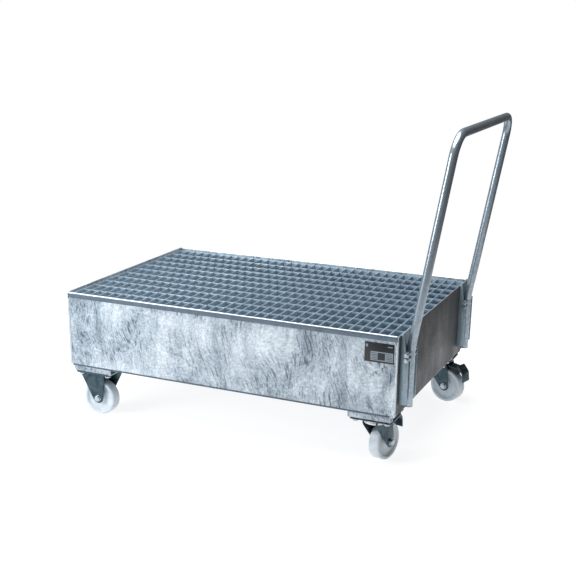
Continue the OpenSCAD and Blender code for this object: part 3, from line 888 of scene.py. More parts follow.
@dataclass
class Tray:
    """Spill tray: one bent sheet, two hemmed long walls, weld beads and the ledges inside."""

    sheet: float = 3.0
    bend: float = 11.0
    wall_inset: float = 1.0
    hem: float = 19.0
    hem_gap: float = 6.0
    bead: float = 5.0
    low: Vector = field(default_factory=lambda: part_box("tray_shell")[0])
    high: Vector = field(default_factory=lambda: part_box("tray_shell")[1])

    def __post_init__(self) -> None:
        """Takes the tray's place and its outside sizes from the frame."""
        size = (self.high - self.low) / MM
        self.half_l, self.half_w, self.height = size.x / 2, size.y / 2, size.z
        self.middle = Vector(((self.low.x + self.high.x) / 2, 0, self.low.z))
        self.seat = Matrix.Translation(self.middle)

    def shell(self) -> bpy.types.Object:
        """Floor and end walls, folded up from one sheet."""
        deselect()
        bpy.ops.mesh.primitive_plane_add(size=1)
        piece = settle("tray_sheet")
        with editing(piece):
            bpy.ops.transform.resize(value=(2 * self.half_l * MM, 2 * self.half_w * MM, 1))
            pick(piece, Part.EDGE, lambda at, way: abs(at.x) > self.half_l - 1)
            bpy.ops.mesh.extrude_region_move(TRANSFORM_OT_translate={"value": mm(0, 0, self.height)})
            pick(
                piece, Part.EDGE,
                lambda at, way: abs(at.x) > self.half_l - 1 and at.z < 1 and abs(way.y) > 0.9,
            )
            bpy.ops.mesh.bevel(offset=self.bend * MM, offset_type="OFFSET", segments=8)
            bpy.ops.mesh.select_all(action="SELECT")
            bpy.ops.mesh.normals_make_consistent(inside=False)
        up = max(piece.data.polygons, key=lambda f: f.area).normal.z
        modify(piece, "SOLIDIFY", thickness=self.sheet * MM, offset=1 if up > 0 else -1)
        soften(piece, 0.7, 2, 50)
        for finish in (SHEET, EDGE, SHADED_END_SHEET):
            piece.data.materials.append(finish.material())
        # Top edges get the edge finish; the handle end's outer face gets the dark copy of the sheet, painted
        # shade.
        for face in piece.data.polygons:
            if face.center.z > (self.height - 0.8) * MM:
                face.material_index = 1
            elif face.center.x > (self.half_l - 1) * MM:
                face.material_index = 2
        return place(piece, self.seat)

    def long_wall(self, name: str, side: int) -> bpy.types.Object:
        """Flat wall whose top edge is folded outwards and down.

        Args:
            name: name of the piece.
            side: -1 for the front wall, 1 for the rear wall.

        Returns:
            The wall, with its fold in a finish of its own.
        """
        out, top = self.half_w - self.wall_inset, self.height - self.sheet
        inner = self.half_l - self.sheet
        wall = slab(
            name,
            [(-out, self.sheet), (self.sheet - out, self.sheet), (self.sheet - out, top), (-out, top)],
            Plane.YZ, -inner, inner,
        )
        roll = arc((-out, top), self.sheet, 0, 180, 8)
        foot, face = self.height - self.hem, -out - self.sheet
        tip = [(face, foot + 1), (face + 0.5, foot), (-out - 0.4, foot), (-out, foot + 0.6)]
        hem = slab(name + "_hem", roll + tip, Plane.YZ, -inner, self.half_l - self.hem_gap)
        smooth(wall)
        soften(hem, 0.3, 1, 60)
        wall.data.materials.append(SHEET.material())
        # painted shade: the hem's band takes the darker fold finish
        hem.data.materials.append(SHADED_FOLD.material())
        hem.data.materials.append(ROLL_HIGHLIGHT.material())
        # painted highlight: the roll's faces above the wall's top get the light copy
        for face in hem.data.polygons:
            if face.center.z > (top + 0.1) * MM:
                face.material_index = 1
        return place(join(name, [wall, hem]), self.seat @ Matrix.Diagonal((1, -side, 1, 1)))

    def welds(self) -> bpy.types.Object:
        """Weld beads up the four corners and along the long walls' feet, as rows of overlapping scales."""
        deselect()
        bpy.ops.mesh.primitive_uv_sphere_add(segments=10, ring_count=6, radius=1)
        upright = settle("bead_scale")
        lying = clone(upright, "lying_scale", Matrix.Identity(4))
        rows = []
        start, end, pitch = self.bend + 2, self.height - self.hem - 2, 4.0
        place(upright, Matrix.Diagonal(mm(self.bead * 0.72, 1.15, 3.4).to_4d()))
        place(upright, Matrix.Translation(mm(self.half_l - self.sheet - 1, self.half_w - 0.6, start)))
        row_of(upright, int((end - start) / pitch), mm(0, 0, pitch))
        for sx, sy in ((1, 1), (1, -1), (-1, 1), (-1, -1)):
            rows.append(clone(upright, "bead_row", Matrix.Diagonal((sx, sy, 1, 1))))
            rows[-1].data.materials.append(BEAD.material())
        bpy.data.objects.remove(upright)
        run, low_pitch = self.half_l - self.bend - 2, 6.0
        place(lying, Matrix.Diagonal(mm(4.6, 1.15, self.bead * 0.62).to_4d()))
        place(lying, Matrix.Translation(mm(-run, self.half_w - 0.6, self.sheet - 0.4)))
        row_of(lying, int(2 * run / low_pitch), mm(low_pitch, 0, 0))
        for sy in (1, -1):
            rows.append(clone(lying, "bead_row", Matrix.Diagonal((1, sy, 1, 1))))
            # painted shade: the low beads take the dark copy of the weld finish
            rows[-1].data.materials.append(SHADED_LOW_BEAD.material())
        bpy.data.objects.remove(lying)
        return place(smooth(join("weld_scales", rows), 60), self.seat)

    def build(self) -> None:
        """Builds the tray and fits it to the frame."""
        fit(self.shell(), "tray", SHEET, "tray_shell")
        fit(self.long_wall("wall_front", -1), "tray", SHEET, "front_wall")
        fit(self.long_wall("wall_rear", 1), "tray", SHEET, "rear_wall")
        fit(self.welds(), "tray", BEAD, "weld_beads")
        # The ledges take the fold's darker copy of the zinc, painted shade.
        for side in ("front", "rear", "left", "right"):
            dress_node(f"ledge_{side}", SHADED_FOLD)


@dataclass
class Label:
    """Black foil label with a generic print: blank panels and plain rules, no letters."""

    low: Vector = field(default_factory=lambda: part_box("label_plate")[0])
    high: Vector = field(default_factory=lambda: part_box("label_plate")[1])

    def patch(
        self, left: float, bottom: float, right: float, top: float, level: float = 0.12
    ) -> bpy.types.Object:
        """Flat printed patch on the label's face.

        Args:
            left: its left edge in mm from the label's left edge.
            bottom: its lower edge in mm from the label's lower edge.
            right: its right edge, in the same way.
            top: its upper edge, in the same way.
            level: how far it stands out of the face, in mm.

        Returns:
            The patch.
        """
        face = self.low.y
        return block(
            "label_patch",
            Vector((self.low.x + left * MM, face - level * MM, self.low.z + bottom * MM)),
            Vector((self.low.x + right * MM, face + 0.2 * MM, self.low.z + top * MM)),
        )

    def build(self) -> None:
        """Builds the plate and its print."""
        plate = soften(block("label_face", self.low, self.high), 0.4, 2)
        fit(plate, "tray", FOIL, "label_plate")
        width, height = (self.high.x - self.low.x) / MM, (self.high.z - self.low.z) / MM
        pale = [self.patch(0.21 * width, 0.09 * height, 0.97 * width, 0.55 * height)]
        pale += [self.patch(0.04 * width, 0.74 * height, 0.11 * width, 0.88 * height)]
        pale += [self.patch(0.78 * width, 0.82 * height, 0.94 * width, 0.87 * height)]
        grey = join("label_print", pale)
        fit(grey, "tray", PRINT)
        dark = [self.patch(0.45 * width, 0.14 * height, 0.70 * width, 0.50 * height, 0.2)]
        for i in range(5):
            level = (0.14 + 0.08 * i) * height
            dark += [self.patch(0.24 * width, level, 0.43 * width, level + 1.3, 0.2)]
            dark += [self.patch(0.73 * width, level, 0.94 * width, level + 1.3, 0.2)]
        fit(join("label_rules", dark), "tray", FOIL)


@dataclass
class Feet:
    """Four bent channels under the tray's corners."""

    wall: float = 4.0
    bevel_l: float = 10.0
    bevel_h: float = 15.0

    def build(self) -> None:
        """Bends one channel, cuts its outer lower corner and copies it to the corners."""
        low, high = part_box("foot_front_right")
        size = (high - low) / MM
        half, top, t = size.y / 2, size.z, self.wall
        corners = arc((5 - half, 5), 5, 180, 270, 4) + arc((half - 5, 5), 5, 270, 360, 4)
        corners += [(half, top), (half - t, top)]
        corners += arc((half - 5, 5), 1.5, 0, -90, 2) + arc((5 - half, 5), 1.5, 270, 180, 2)
        corners += [(t - half, top), (-half, top)]
        channel = slab("channel", corners, Plane.YZ, -size.x / 2, size.x / 2)
        edge = size.x / 2
        cut(channel, mm(edge - self.bevel_l, 0, 0), (self.bevel_h, 0, -self.bevel_l))
        soften(channel, 0.6, 2, 40)
        for name, end in (("front_left", -1), ("rear_left", -1), ("front_right", 1), ("rear_right", 1)):
            low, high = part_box("foot_" + name)
            at = Vector(((low.x + high.x) / 2, (low.y + high.y) / 2, low.z))
            seat = Matrix.Translation(at) @ Matrix.Diagonal((end, 1, 1, 1))
            piece = clone(channel, "channel_" + name, seat)
            fit(piece, "tray", FOOT, "foot_" + name)
        bpy.data.objects.remove(channel)


@dataclass
class Grating:
    """Lift-out grating: bearing bars, cross bars pressed into them, and an edge frame."""

    bar: float = 3.0
    cross: float = 2.0
    cross_h: float = 10.0
    bar_spaces: int = 36
    cross_spaces: int = 11

    def build(self) -> None:
        """Builds one bar of each kind and repeats it."""
        low, high = (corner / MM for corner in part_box("grating_frame"))
        middle = (low.x + high.x) / 2
        half = Vector(((high.x - low.x) / 2, (high.y - low.y) / 2))
        step = (2 * half.x - self.bar) / self.bar_spaces
        first = middle - half.x + self.bar / 2 + step
        bar = block(
            "bars", mm(first - self.bar / 2, low.y + self.bar - 0.5, low.z),
            mm(first + self.bar / 2, high.y - self.bar + 0.5, high.z),
        )
        soften(bar, 0.6, 2)
        row_of(bar, self.bar_spaces - 1, mm(step, 0, 0))
        fit(smooth(bar), "grating", GRATE, "bearing_bars")
        across = (2 * half.y - self.bar) / self.cross_spaces
        at = low.y + self.bar / 2 + across
        tie = block(
            "ties", mm(low.x + self.bar - 0.5, at - self.cross / 2, high.z - self.cross_h),
            mm(high.x - self.bar + 0.5, at + self.cross / 2, high.z - 0.15),
        )
        soften(tie, 0.45, 2)
        row_of(tie, self.cross_spaces - 1, mm(0, across, 0))
        fit(smooth(tie), "grating", GRATE, "cross_bars")
        edges = []
        for side in (-1, 1):
            edge = half.x * side
            edges.append(block(
                "edge", mm(middle + min(edge, edge - side * self.bar), low.y, low.z),
                mm(middle + max(edge, edge - side * self.bar), high.y, high.z),
            ))
            edge = half.y * side
            edges.append(block(
                "edge", mm(low.x, min(edge, edge - side * self.bar), low.z),
                mm(high.x, max(edge, edge - side * self.bar), high.z),
            ))
        for edge in edges:
            soften(edge, 0.6, 2)
        fit(join("edge_bars", edges), "grating", GRATE, "grating_frame")


# ---------- the handle ----------


@dataclass
class Handle:
    """Push handle: one bent tube, its end caps, two notched brackets and their bolts."""

    tray: Tray
    tube: float = 26.9
    wall: float = 2.3
    lean: float = 9.2
    corner: float = 65.0
    kink: float = 212.0
    kink_bend: float = 90.0
    foot: float = 26.0
    inset: float = 66.0
    bracket_w: float = 92.0
    bracket_t: float = 4.0
    bracket_low: float = 40.0
    gap: float = 1.0
    bolt: float = 8.0
    bolt_high: float = 203.0
    bolt_gap: float = 17.0
    notch: float = 8.0
    prong: float = 10.0
    bolt_edge: float = 8.5

    def __post_init__(self) -> None:
        """Works out where the legs stand."""
        self.leg_y = self.tray.half_w - self.inset
        self.leg_x = self.tray.half_l + self.bracket_t + self.gap + self.tube / 2
        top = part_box("handle_tube")[1].z / MM - self.tray.middle.z / MM
        self.lean_l = (top - self.tube / 2 - self.kink) / math.cos(math.radians(self.lean))

    def bent_tube(self) -> bpy.types.Object:
        """The tube, drawn as a ring that is pulled and bent along its whole way."""
        lean = math.radians(self.lean)
        up = Vector((math.sin(lean), 0, math.cos(lean)))
        run_in = self.kink_bend * math.tan(lean / 2)
        deselect()
        bpy.ops.mesh.primitive_circle_add(
            vertices=32, radius=self.tube / 2 * MM, fill_type="NOTHING",
            location=mm(self.leg_x, -self.leg_y, self.foot),
        )
        piece = settle("bent_tube")
        turn = Vector((-math.cos(lean), 0, math.sin(lean)))
        centre_x = self.leg_x + self.kink_bend
        straight = self.lean_l - self.corner - run_in
        corner_at = mm(self.leg_x, -self.leg_y, self.kink) + up * (self.lean_l - self.corner) * MM
        far_at = mm(self.leg_x, self.leg_y, self.kink) + up * self.lean_l * MM - Y * self.corner * MM
        moves = (
            ("pull", Z * (self.kink - run_in - self.foot) * MM),
            ("bend", mm(centre_x, -self.leg_y, self.kink - run_in), Y, lean, 4),
            ("pull", up * straight * MM),
            ("bend", corner_at + Y * self.corner * MM, turn, math.pi / 2, 14),
            ("pull", Y * 2 * (self.leg_y - self.corner) * MM),
            ("bend", far_at - up * self.corner * MM, turn, math.pi / 2, 14),
            ("pull", -up * straight * MM),
            ("bend", mm(centre_x, self.leg_y, self.kink - run_in), Y, -lean, 4),
            ("pull", -Z * (self.kink - run_in - self.foot) * MM),
        )
        with editing(piece):
            bpy.ops.mesh.select_mode(type="EDGE")
            for move in moves:
                if move[0] == "pull":
                    bpy.ops.mesh.extrude_region_move(TRANSFORM_OT_translate={"value": move[1]})
                else:
                    bpy.ops.mesh.spin(
                        steps=move[4], angle=-move[3], center=move[1], axis=move[2], use_auto_merge=False
                    )
            bpy.ops.mesh.select_all(action="SELECT")
            bpy.ops.mesh.normals_make_consistent(inside=False)
        modify(piece, "SOLIDIFY", thickness=self.wall * MM, offset=-1)
        smooth(piece, 40)
        return place(piece, self.tray.seat)

    def caps(self) -> bpy.types.Object:
        """Plastic plugs in the tube's lower ends."""
        plugs = []
        for side in (-1, 1):
            at = mm(self.leg_x, side * self.leg_y, self.foot)
            plug = rod("plug", at - Z * 2 * MM, at + Z * 14 * MM, (self.tube / 2 - self.wall) * MM, 32)
            lip = soften(rod("plug_lip", at - Z * 2 * MM, at, self.tube / 2 * MM, 32), 0.8, 2)
            plugs += [smooth(plug), lip]
        return place(join("tube_plugs", plugs), self.tray.seat)

    def bracket(self) -> bpy.types.Object:
        """U bracket, folded from a plate whose sides are notched at the top."""
        wall = self.tray.half_l
        depth = self.bracket_t + self.gap + self.tube / 2 + self.bolt_edge
        top, half = self.tray.height + 1, self.bracket_w / 2
        notch = self.bolt_high + self.notch
        low = self.bracket_low
        shape = [(0.3, low), (depth - 4, low), (depth, low + 4), (depth, notch - 5), (depth - 3, notch),
                 (self.prong + 7, notch), (self.prong, top - 4), (self.prong - 4, top), (0.3, top)]
        side = [(wall + x, z) for x, z in shape]
        parts = [block("bracket_back", mm(wall, -half + 1, low), mm(wall + self.bracket_t, half - 1, top))]
        for s in (-1, 1):
            y = s * (half - self.bracket_t / 2)
            parts.append(slab("bracket_side", side, Plane.XZ, y - self.bracket_t / 2, y + self.bracket_t / 2))
        for part in parts:
            soften(part, 1.1, 3)
        return join("bracket", parts)

    def fixings(self) -> tuple[bpy.types.Object, bpy.types.Object, bpy.types.Object]:
        """Bolts, nuts and spacers at one bolt place, at the origin with the heads towards -Y."""
        half, d = self.bracket_w / 2, self.bolt
        seat = Vector((0, -half * MM, 0))
        shank = smooth(rod("shank", seat, Vector((0, half * MM, 0)), d / 2 * MM, 20))
        washer = disc_washer("washer", seat, -Y, d, 1.6)
        head = hex_head("head", seat - Y * 1.6 * MM, -Y, 1.6 * d, 0.65 * d)
        bolt = join("bolt", [shank, washer, head])
        far = Vector((0, half * MM, 0))
        nut = join("nut", [
            hex_head("nut", far, Y, 1.6 * d, 0.8 * d),
            threaded_end("thread", far + Y * 0.8 * d * MM, Y, d / 2, 0.2 * d - 0.2),
        ])
        length = half - self.bracket_t - self.tube / 2
        sleeves = []
        for s in (-1, 1):
            start = Vector((0, s * self.tube / 2 * MM, 0))
            sleeve = rod("sleeve", start, start + Y * s * length * MM, (d / 2 + 3) * MM, 24)
            sleeves.append(soften(sleeve, 0.5, 2))
        return bolt, nut, join("sleeve", sleeves)

    def build(self) -> None:
        """Builds the handle and fits it to the frame."""
        fit(self.bent_tube(), "tray", TUBE, "handle_tube")
        fit(self.caps(), "tray", BLACK_CAP, "tube_end_caps")
        pattern = self.bracket()
        for name, side in (("front", -1), ("rear", 1)):
            at = self.tray.seat @ Matrix.Translation(mm(0, side * self.leg_y, 0))
            fit(clone(pattern, "u_bracket_" + name, at), "tray", BRACKET, "bracket_" + name)
        bpy.data.objects.remove(pattern)
        places = [
            self.tray.seat @ Matrix.Translation(mm(self.leg_x, side * self.leg_y, z))
            for side in (-1, 1) for z in (self.bolt_high, self.bolt_high - self.bolt_gap)
        ]
        bolt, nut, sleeve = self.fixings()
        fit(clones(bolt, "leg_bolts", places), "tray", BRIGHT_ZINC, "handle_bolts")
        fit(clones(nut, "leg_nuts", places), "tray", BRIGHT_ZINC, "handle_nuts")
        fit(clones(sleeve, "leg_sleeves", places), "tray", BRIGHT_ZINC, "handle_spacers")


# ---------- the castors ----------


@dataclass
class Castor:
    """What both kinds of castor share. Local frame: origin at the centre of the plate's top, +X back
    along the trail, the axle along Y."""

    height: float = 165.0
    plate_l: float = 140.0
    plate_w: float = 110.0
    plate_t: float = 4.0
    bolts_x: float = 105.0
    bolts_y: float = 80.0
    bolt: float = 10.0
    wheel_d: float = 125.0
    wheel_w: float = 40.0
    fork_t: float = 3.5
    hub_gap: float = 1.5
    axle: float = 12.0
    boss: float = 19.0

    def __post_init__(self) -> None:
        """Works out the castor's heights and widths."""
        self.axle_z = self.wheel_d / 2 - self.height
        self.hub_w = self.wheel_w + 4
        self.leg_in = self.hub_w / 2 + self.hub_gap
        self.leg_out = self.leg_in + self.fork_t
        self.sleeve_r = self.axle / 2 + 1.5
        self.bush_r = self.sleeve_r + 2.5

    def plate(self, name: str) -> bpy.types.Object:
        """Top plate with round corners.

        Args:
            name: name of the piece.

        Returns:
            The plate.
        """
        x, y, r = self.plate_l / 2, self.plate_w / 2, 10
        corners: list[Point] = []
        for sx, sy, start in ((1, 1, 0), (-1, 1, 90), (-1, -1, 180), (1, -1, 270)):
            corners += arc((sx * (x - r), sy * (y - r)), r, start, start + 90, 6)
        return soften(slab(name, corners, Plane.XY, -self.plate_t, 0), 0.7, 2, 50)

    def wheel(self, name: str) -> bpy.types.Object:
        """Moulded wheel with a dished disc and a thin rim ring on each face.

        Args:
            name: name of the piece.

        Returns:
            The wheel, with its axle through the origin.
        """
        r, half, b, hub = self.wheel_d / 2, self.wheel_w / 2, self.bush_r, self.hub_w / 2
        face = [
            (b, hub - 0.6), (b + 0.6, hub), (b + 7, hub), (b + 8.5, hub - 1), (b + 10.5, hub - 6),
            (b + 13, half - 7.5), (b + 20, half - 8.3), (r - 16.5, half - 7.2), (r - 14, half - 5),
            (r - 11.5, half - 1.6), (r - 10, half - 0.4), (r - 8.6, half), (r - 6.4, half),
            (r - 5.8, half - 0.5), (r - 5.2, half), (r - 4.2, half), (r - 2, half - 1.3),
            (r - 0.5, half - 3.6), (r, half - 7),
        ]
        profile = face + [(x, -y) for x, y in reversed(face)]
        return smooth(turned(name, profile, Plane.XY, 72), 40)

    def bush(self, name: str) -> bpy.types.Object:
        """Plain bush in the wheel's bore; returns it with its axle through the origin."""
        out, bore, half = self.bush_r, self.sleeve_r + 0.05, self.hub_w / 2
        profile = [(bore, -half), (out, -half), (out, half), (bore, half)]
        return smooth(turned(name, profile, Plane.XY, 40))

    def axle_bolt(self, name: str) -> bpy.types.Object:
        """Axle bolt with its head towards -Y; returns it with its shank through the origin."""
        d, out = self.axle, self.leg_out
        shank = smooth(rod(name, mm(0, -out, 0), mm(0, out + 0.85 * d, 0), d / 2 * MM, 24))
        washer = disc_washer("washer", mm(0, -out, 0), -Y, d, 2)
        head = hex_head("head", mm(0, -out - 2, 0), -Y, 1.55 * d, 0.6 * d)
        end = threaded_end("end", mm(0, out + 0.85 * d, 0), Y, d / 2, 0.14 * d + 0.2)
        return join(name, [shank, washer, head, end])

    def axle_nut(self, name: str) -> bpy.types.Object:
        """Nut of the axle bolt, on the +Y side."""
        return hex_head(name, mm(0, self.leg_out, 0), Y, 1.55 * self.axle, 0.85 * self.axle)

    def sleeve(self, name: str) -> bpy.types.Object:
        """Sleeve round the axle bolt between the fork's legs."""
        return smooth(rod(name, mm(0, -self.leg_in, 0), mm(0, self.leg_in, 0), self.sleeve_r * MM, 32))


@dataclass
class FixedCastor(Castor):
    """Castor with a pressed fork that doesn't turn."""

    bulge_r: float = 14.5
    bulge_x: float = -7.0
    bulge_z: float = -52.0
    bulge_in: float = 6.0  # how far the bulge's axis lies inside the leg's inner face
    bend_r: float = 4.5

    def fork(self, name: str) -> bpy.types.Object:
        """Plate and two legs, each with a bulge pressed out of its upper half.

        Args:
            name: name of the piece.

        Returns:
            The fork.
        """
        x, top, b, z = self.plate_l / 2, 1 - self.plate_t, self.boss, self.axle_z
        leg = [(-x + 1, top), (-x + 1, top - 13), (-b - 1.5, z - 6)] + arc((0, z), b, 205, 335, 8)
        leg += [(b + 1.5, z + 4), (b + 10, top)]
        parts = [self.plate(name)]
        axis = mm(self.bulge_x, self.bulge_in - self.leg_in, self.bulge_z)
        for turn in (0, 180):
            matrix = Matrix.Rotation(math.radians(turn), 4, "Z")
            side = slab("leg", leg, Plane.XZ, -self.leg_out, -self.leg_in)
            soften(side, 1.2, 3, 40)
            bulge = rod("bulge", axis, Vector((axis.x, axis.y, top * MM)), self.bulge_r * MM, 32)
            deselect()
            bpy.ops.mesh.primitive_uv_sphere_add(
                segments=32, ring_count=16, radius=self.bulge_r * MM, location=axis
            )
            end = settle("bulge_end")
            for part in (bulge, end):
                cut(part, mm(0, -self.leg_in - 1, 0), (0, 1, 0))
                smooth(part, 40)
            # rolled bend where the leg leaves the plate
            y, level = -self.leg_in - 0.5, top - 0.5
            roll = rod("roll", mm(1 - x, y, level), mm(b + 9, y, level), self.bend_r * MM, 20)
            cut(roll, mm(0, 0, 0), (0, 0, 1))
            cut(roll, mm(0, -self.leg_in, 0), (0, 1, 0))
            smooth(roll, 40)
            for part in (side, bulge, end, roll):
                parts.append(place(part, matrix))
        return join(name, parts)

    def build(self) -> None:
        """Builds the pattern castor and copies it to its two places."""
        axle_at = Matrix.Translation(mm(0, 0, self.axle_z))
        patterns = {
            "fork": self.fork("fork"), "wheel": place(self.wheel("wheel"), axle_at),
            "bush": place(self.bush("bush"), axle_at), "bolt": place(self.axle_bolt("bolt"), axle_at),
            "nut": place(self.axle_nut("nut"), axle_at), "sleeve": place(self.sleeve("sleeve"), axle_at),
        }
        places = []
        for side in ("front", "rear"):
            at = Matrix.Translation(top_of(f"fixed_fork_{side}"))
            places.append(at)
            for kind, piece, body, finish, node in (
                ("fork", f"pressed_fork_{side}", "tray", BLUE_ZINC, f"fixed_fork_{side}"),
                ("wheel", f"roller_{side}_left", f"{side}_left_wheel", POLYAMIDE, f"wheel_{side}_left"),
                ("bush", f"liner_{side}_left", f"{side}_left_wheel", BRONZE, f"bush_{side}_left"),
            ):
                fit(clone(patterns[kind], piece, at), body, finish, node)
        for kind in ("bolt", "nut", "sleeve"):
            whole = clones(patterns.pop(kind), "pressed_fork_" + kind, places)
            fit(whole, "tray", BRIGHT_ZINC, f"fixed_axle_{kind}s")
        for pattern in patterns.values():
            bpy.data.objects.remove(pattern)


@dataclass
class SwivelCastor(Castor):
    """Castor whose fork turns on a ball race, with a brake worked by a rocker pedal."""

    trail: float = 55.0
    race_r: float = 39.0
    crown_r: float = 38.0
    crown_z: float = -13.5
    crown_t: float = 4.0
    front: float = -34.0
    back: float = 60.0
    pin_x: float = 50.0
    pin_z: float = -26.5
    pin_r: float = 4.0
    rocker_in: float = 9.5  # rocker's front edge inside the wheel's rearmost point
    brake_travel: float = 8.0  # degrees

    def race(self, name: str) -> bpy.types.Object:
        """Upper ball race: a pressed ring with a skirt over the balls; returns it."""
        r, t = self.race_r, self.plate_t
        bore, skirt = 6.2, self.crown_z + 0.5
        profile = [(bore, -t), (r - 2.5, -t), (r - 0.8, -t - 0.8), (r, -t - 2.6), (r, skirt + 0.4),
                   (r - 0.5, skirt), (r - 2, skirt), (r - 2, -t - 3), (bore, -t - 3)]
        return smooth(turned(name, profile, Plane.XZ, 56), 40)

    def fork(self, name: str) -> bpy.types.Object:
        """Crown and two legs that sweep back to the axle.

        Args:
            name: name of the piece.

        Returns:
            The fork.
        """
        z, b, x0, x1 = self.axle_z, self.boss, self.front, self.back
        top = self.crown_z
        leg = [(x0 + 2, top), (x0, top - 3), (x0, top - 10), (x0 + 4, top - 17)]
        leg += arc((self.trail, z), b, 208, 352, 9)
        leg += [(self.trail + b - 1, z + 4), (x1 + 1, top - 4), (x1, top)]
        parts = []
        for side in (-1, 1):
            y = side * (self.leg_in + self.fork_t / 2)
            blade = slab("blade", leg, Plane.XZ, y - self.fork_t / 2, y + self.fork_t / 2)
            parts.append(soften(blade, 1.1, 3, 40))
            edge = side * (self.leg_in + 0.2)
            roll = rod("roll", mm(x0 + 3, edge, top - 3.9), mm(x1 - 1, edge, top - 3.9), 3.7 * MM, 20)
            parts.append(smooth(roll, 40))
        cup = turned(
            "cup",
            [(30, top - 0.4), (self.crown_r, top - 0.4), (self.crown_r + 0.6, top - 1.4),
             (self.crown_r + 0.2, top - 6.5), (self.crown_r - 1.4, top - 8), (30, top - 8)],
            Plane.XZ, 56,
        )
        cup.data.materials.append(RACE_STEEL.material())
        plan = arc((0, 0), self.crown_r, 40, 320, 30) + [(x1, -self.leg_in - 1), (x1, self.leg_in + 1)]
        crown = slab("crown", plan, Plane.XY, top - self.crown_t, top)
        parts.append(soften(crown, 0.8, 2, 50))
        for part in parts:
            part.data.materials.append(BLUE_ZINC.material())
        return join(name, parts + [smooth(cup, 40)])

    def brake_pin(self, name: str) -> bpy.types.Object:
        """Pin of the brake pedal, riveted over at both ends; returns it."""
        out = self.leg_out
        ends = mm(self.pin_x, -out, self.pin_z), mm(self.pin_x, out, self.pin_z)
        pin = smooth(rod(name, *ends, self.pin_r * MM, 20))
        heads = [
            soften(rod("rivet", mm(self.pin_x, s * out, self.pin_z), mm(self.pin_x, s * (out + 2), self.pin_z),
                       (self.pin_r + 2.5) * MM, 24), 0.9, 2)
            for s in (-1, 1)
        ]
        return join(name, [pin] + heads)

    def rocker(self) -> float:
        """Distance from the brake pin back to the rocker."""
        return self.trail + self.wheel_d / 2 - self.rocker_in - self.pin_x

    def pedal(self, name: str) -> bpy.types.Object:
        """Brake pedal: a lever over the wheel and a rocker with an upper and a lower tab.

        Args:
            name: name of the piece.

        Returns:
            The pedal.
        """
        half, t, hub, end = self.leg_in - 2, 4, self.pin_r + 3, self.rocker()
        x, z = self.pin_x, self.pin_z
        pivot = soften(rod("pivot", mm(x, -half, z), mm(x, half, z), hub * MM, 28), 0.8, 2)
        side = [(x, z + hub), (x + end, z + 1), (x + end, z + 1 - t), (x, z + hub - t)]
        lever = slab("lever", side, Plane.XZ, -half, half)
        soften(lever, 0.8, 2)
        shape = [(-6, 8), (-3.5, 10.8), (2, 10.4), (13, -2), (20, -11), (22, -16), (25.5, -46),
                 (23.5, -49), (20, -47), (16.5, -19), (8, -9), (0, -3)]
        rocker = slab("rocker", [(x + end + a, z + b) for a, b in shape], Plane.XZ, -half, half)
        soften(rocker, 1.1, 3)
        parts = [pivot, lever, rocker]
        # grip ribs across both tabs
        for a, b in ((7, 5), (11, 0.4), (23.2, -26), (24, -33), (24.8, -40)):
            at = mm(x + end + a, 0, z + b)
            rib = rod("rib", at - Y * (half - 4) * MM, at + Y * (half - 4) * MM, 1.3 * MM, 10)
            parts.append(smooth(rib, 60))
        return join(name, parts)

    def shoe(self, name: str) -> bpy.types.Object:
        """Brake shoe, hollowed to the tread, under the lever.

        Args:
            name: name of the piece.

        Returns:
            The shoe.
        """
        end = self.rocker() - 6
        start, hub, t = end - 25, self.pin_r + 3, 4
        slope = (1 - hub) / self.rocker()
        press = math.radians(self.brake_travel)
        reach, drop = self.trail - self.pin_x, self.axle_z - self.pin_z
        centre = (
            reach * math.cos(press) - drop * math.sin(press), reach * math.sin(press) + drop * math.cos(press)
        )
        radius = self.wheel_d / 2 + 0.7
        tread = []
        for i in range(7):
            a = end - (end - start) * i / 6
            tread.append((a, centre[1] + math.sqrt(radius**2 - (a - centre[0]) ** 2)))
        top = [(start, hub - t + slope * start), (end, hub - t + slope * end)]
        corners = [(self.pin_x + a, self.pin_z + b) for a, b in top + tread]
        half = self.wheel_w / 2 - 4
        return soften(slab(name, corners, Plane.XZ, -half, half), 0.8, 2, 40)

    def build(self) -> None:
        """Builds the pattern castor and copies it to its two places, turned as the frame says."""
        axle_at = Matrix.Translation(mm(self.trail, 0, self.axle_z))
        plate = self.plate("plate")
        parts = (  # pattern, piece, body, finish, node
            (plate, "top_plate_{}", "tray", BLUE_ZINC, "swivel_plate_{}"),
            (self.race("race"), "ball_race_{}", "tray", RACE_STEEL, "race_{}"),
            (self.fork("fork"), "turning_fork_{}", "{}_swivel", BLUE_ZINC, "swivel_fork_{}"),
            (place(self.axle_bolt("bolt"), axle_at), "turning_fork_bolt_{}", "{}_swivel", BRIGHT_ZINC,
             "swivel_axle_bolt_{}"),
            (place(self.axle_nut("nut"), axle_at), "turning_fork_nut_{}", "{}_swivel", BLUE_ZINC,
             "swivel_axle_nut_{}"),
            (place(self.sleeve("sleeve"), axle_at), "turning_fork_sleeve_{}", "{}_swivel", BRIGHT_ZINC,
             "swivel_axle_sleeve_{}"),
            (self.brake_pin("pin"), "rocker_pin_{}", "{}_swivel", BRIGHT_ZINC, "brake_pin_{}"),
            (place(self.wheel("wheel"), axle_at), "roller_{}_right", "{}_right_wheel", POLYAMIDE,
             "wheel_{}_right"),
            (place(self.bush("bush"), axle_at), "liner_{}_right", "{}_right_wheel", BRONZE, "bush_{}_right"),
            (self.pedal("pedal"), "rocker_pedal_{}", "{}_brake", BLUE_ZINC, "brake_pedal_{}"),
            (self.shoe("shoe"), "tread_shoe_{}", "{}_brake", RUBBER, "brake_shoe_{}"),
        )
        for side in ("front", "rear"):
            seat = Matrix.Translation(top_of(f"swivel_plate_{side}"))
            joint = next(j for j in frame["joints"] if j["name"] == f"{side}_right_wheel_spin")
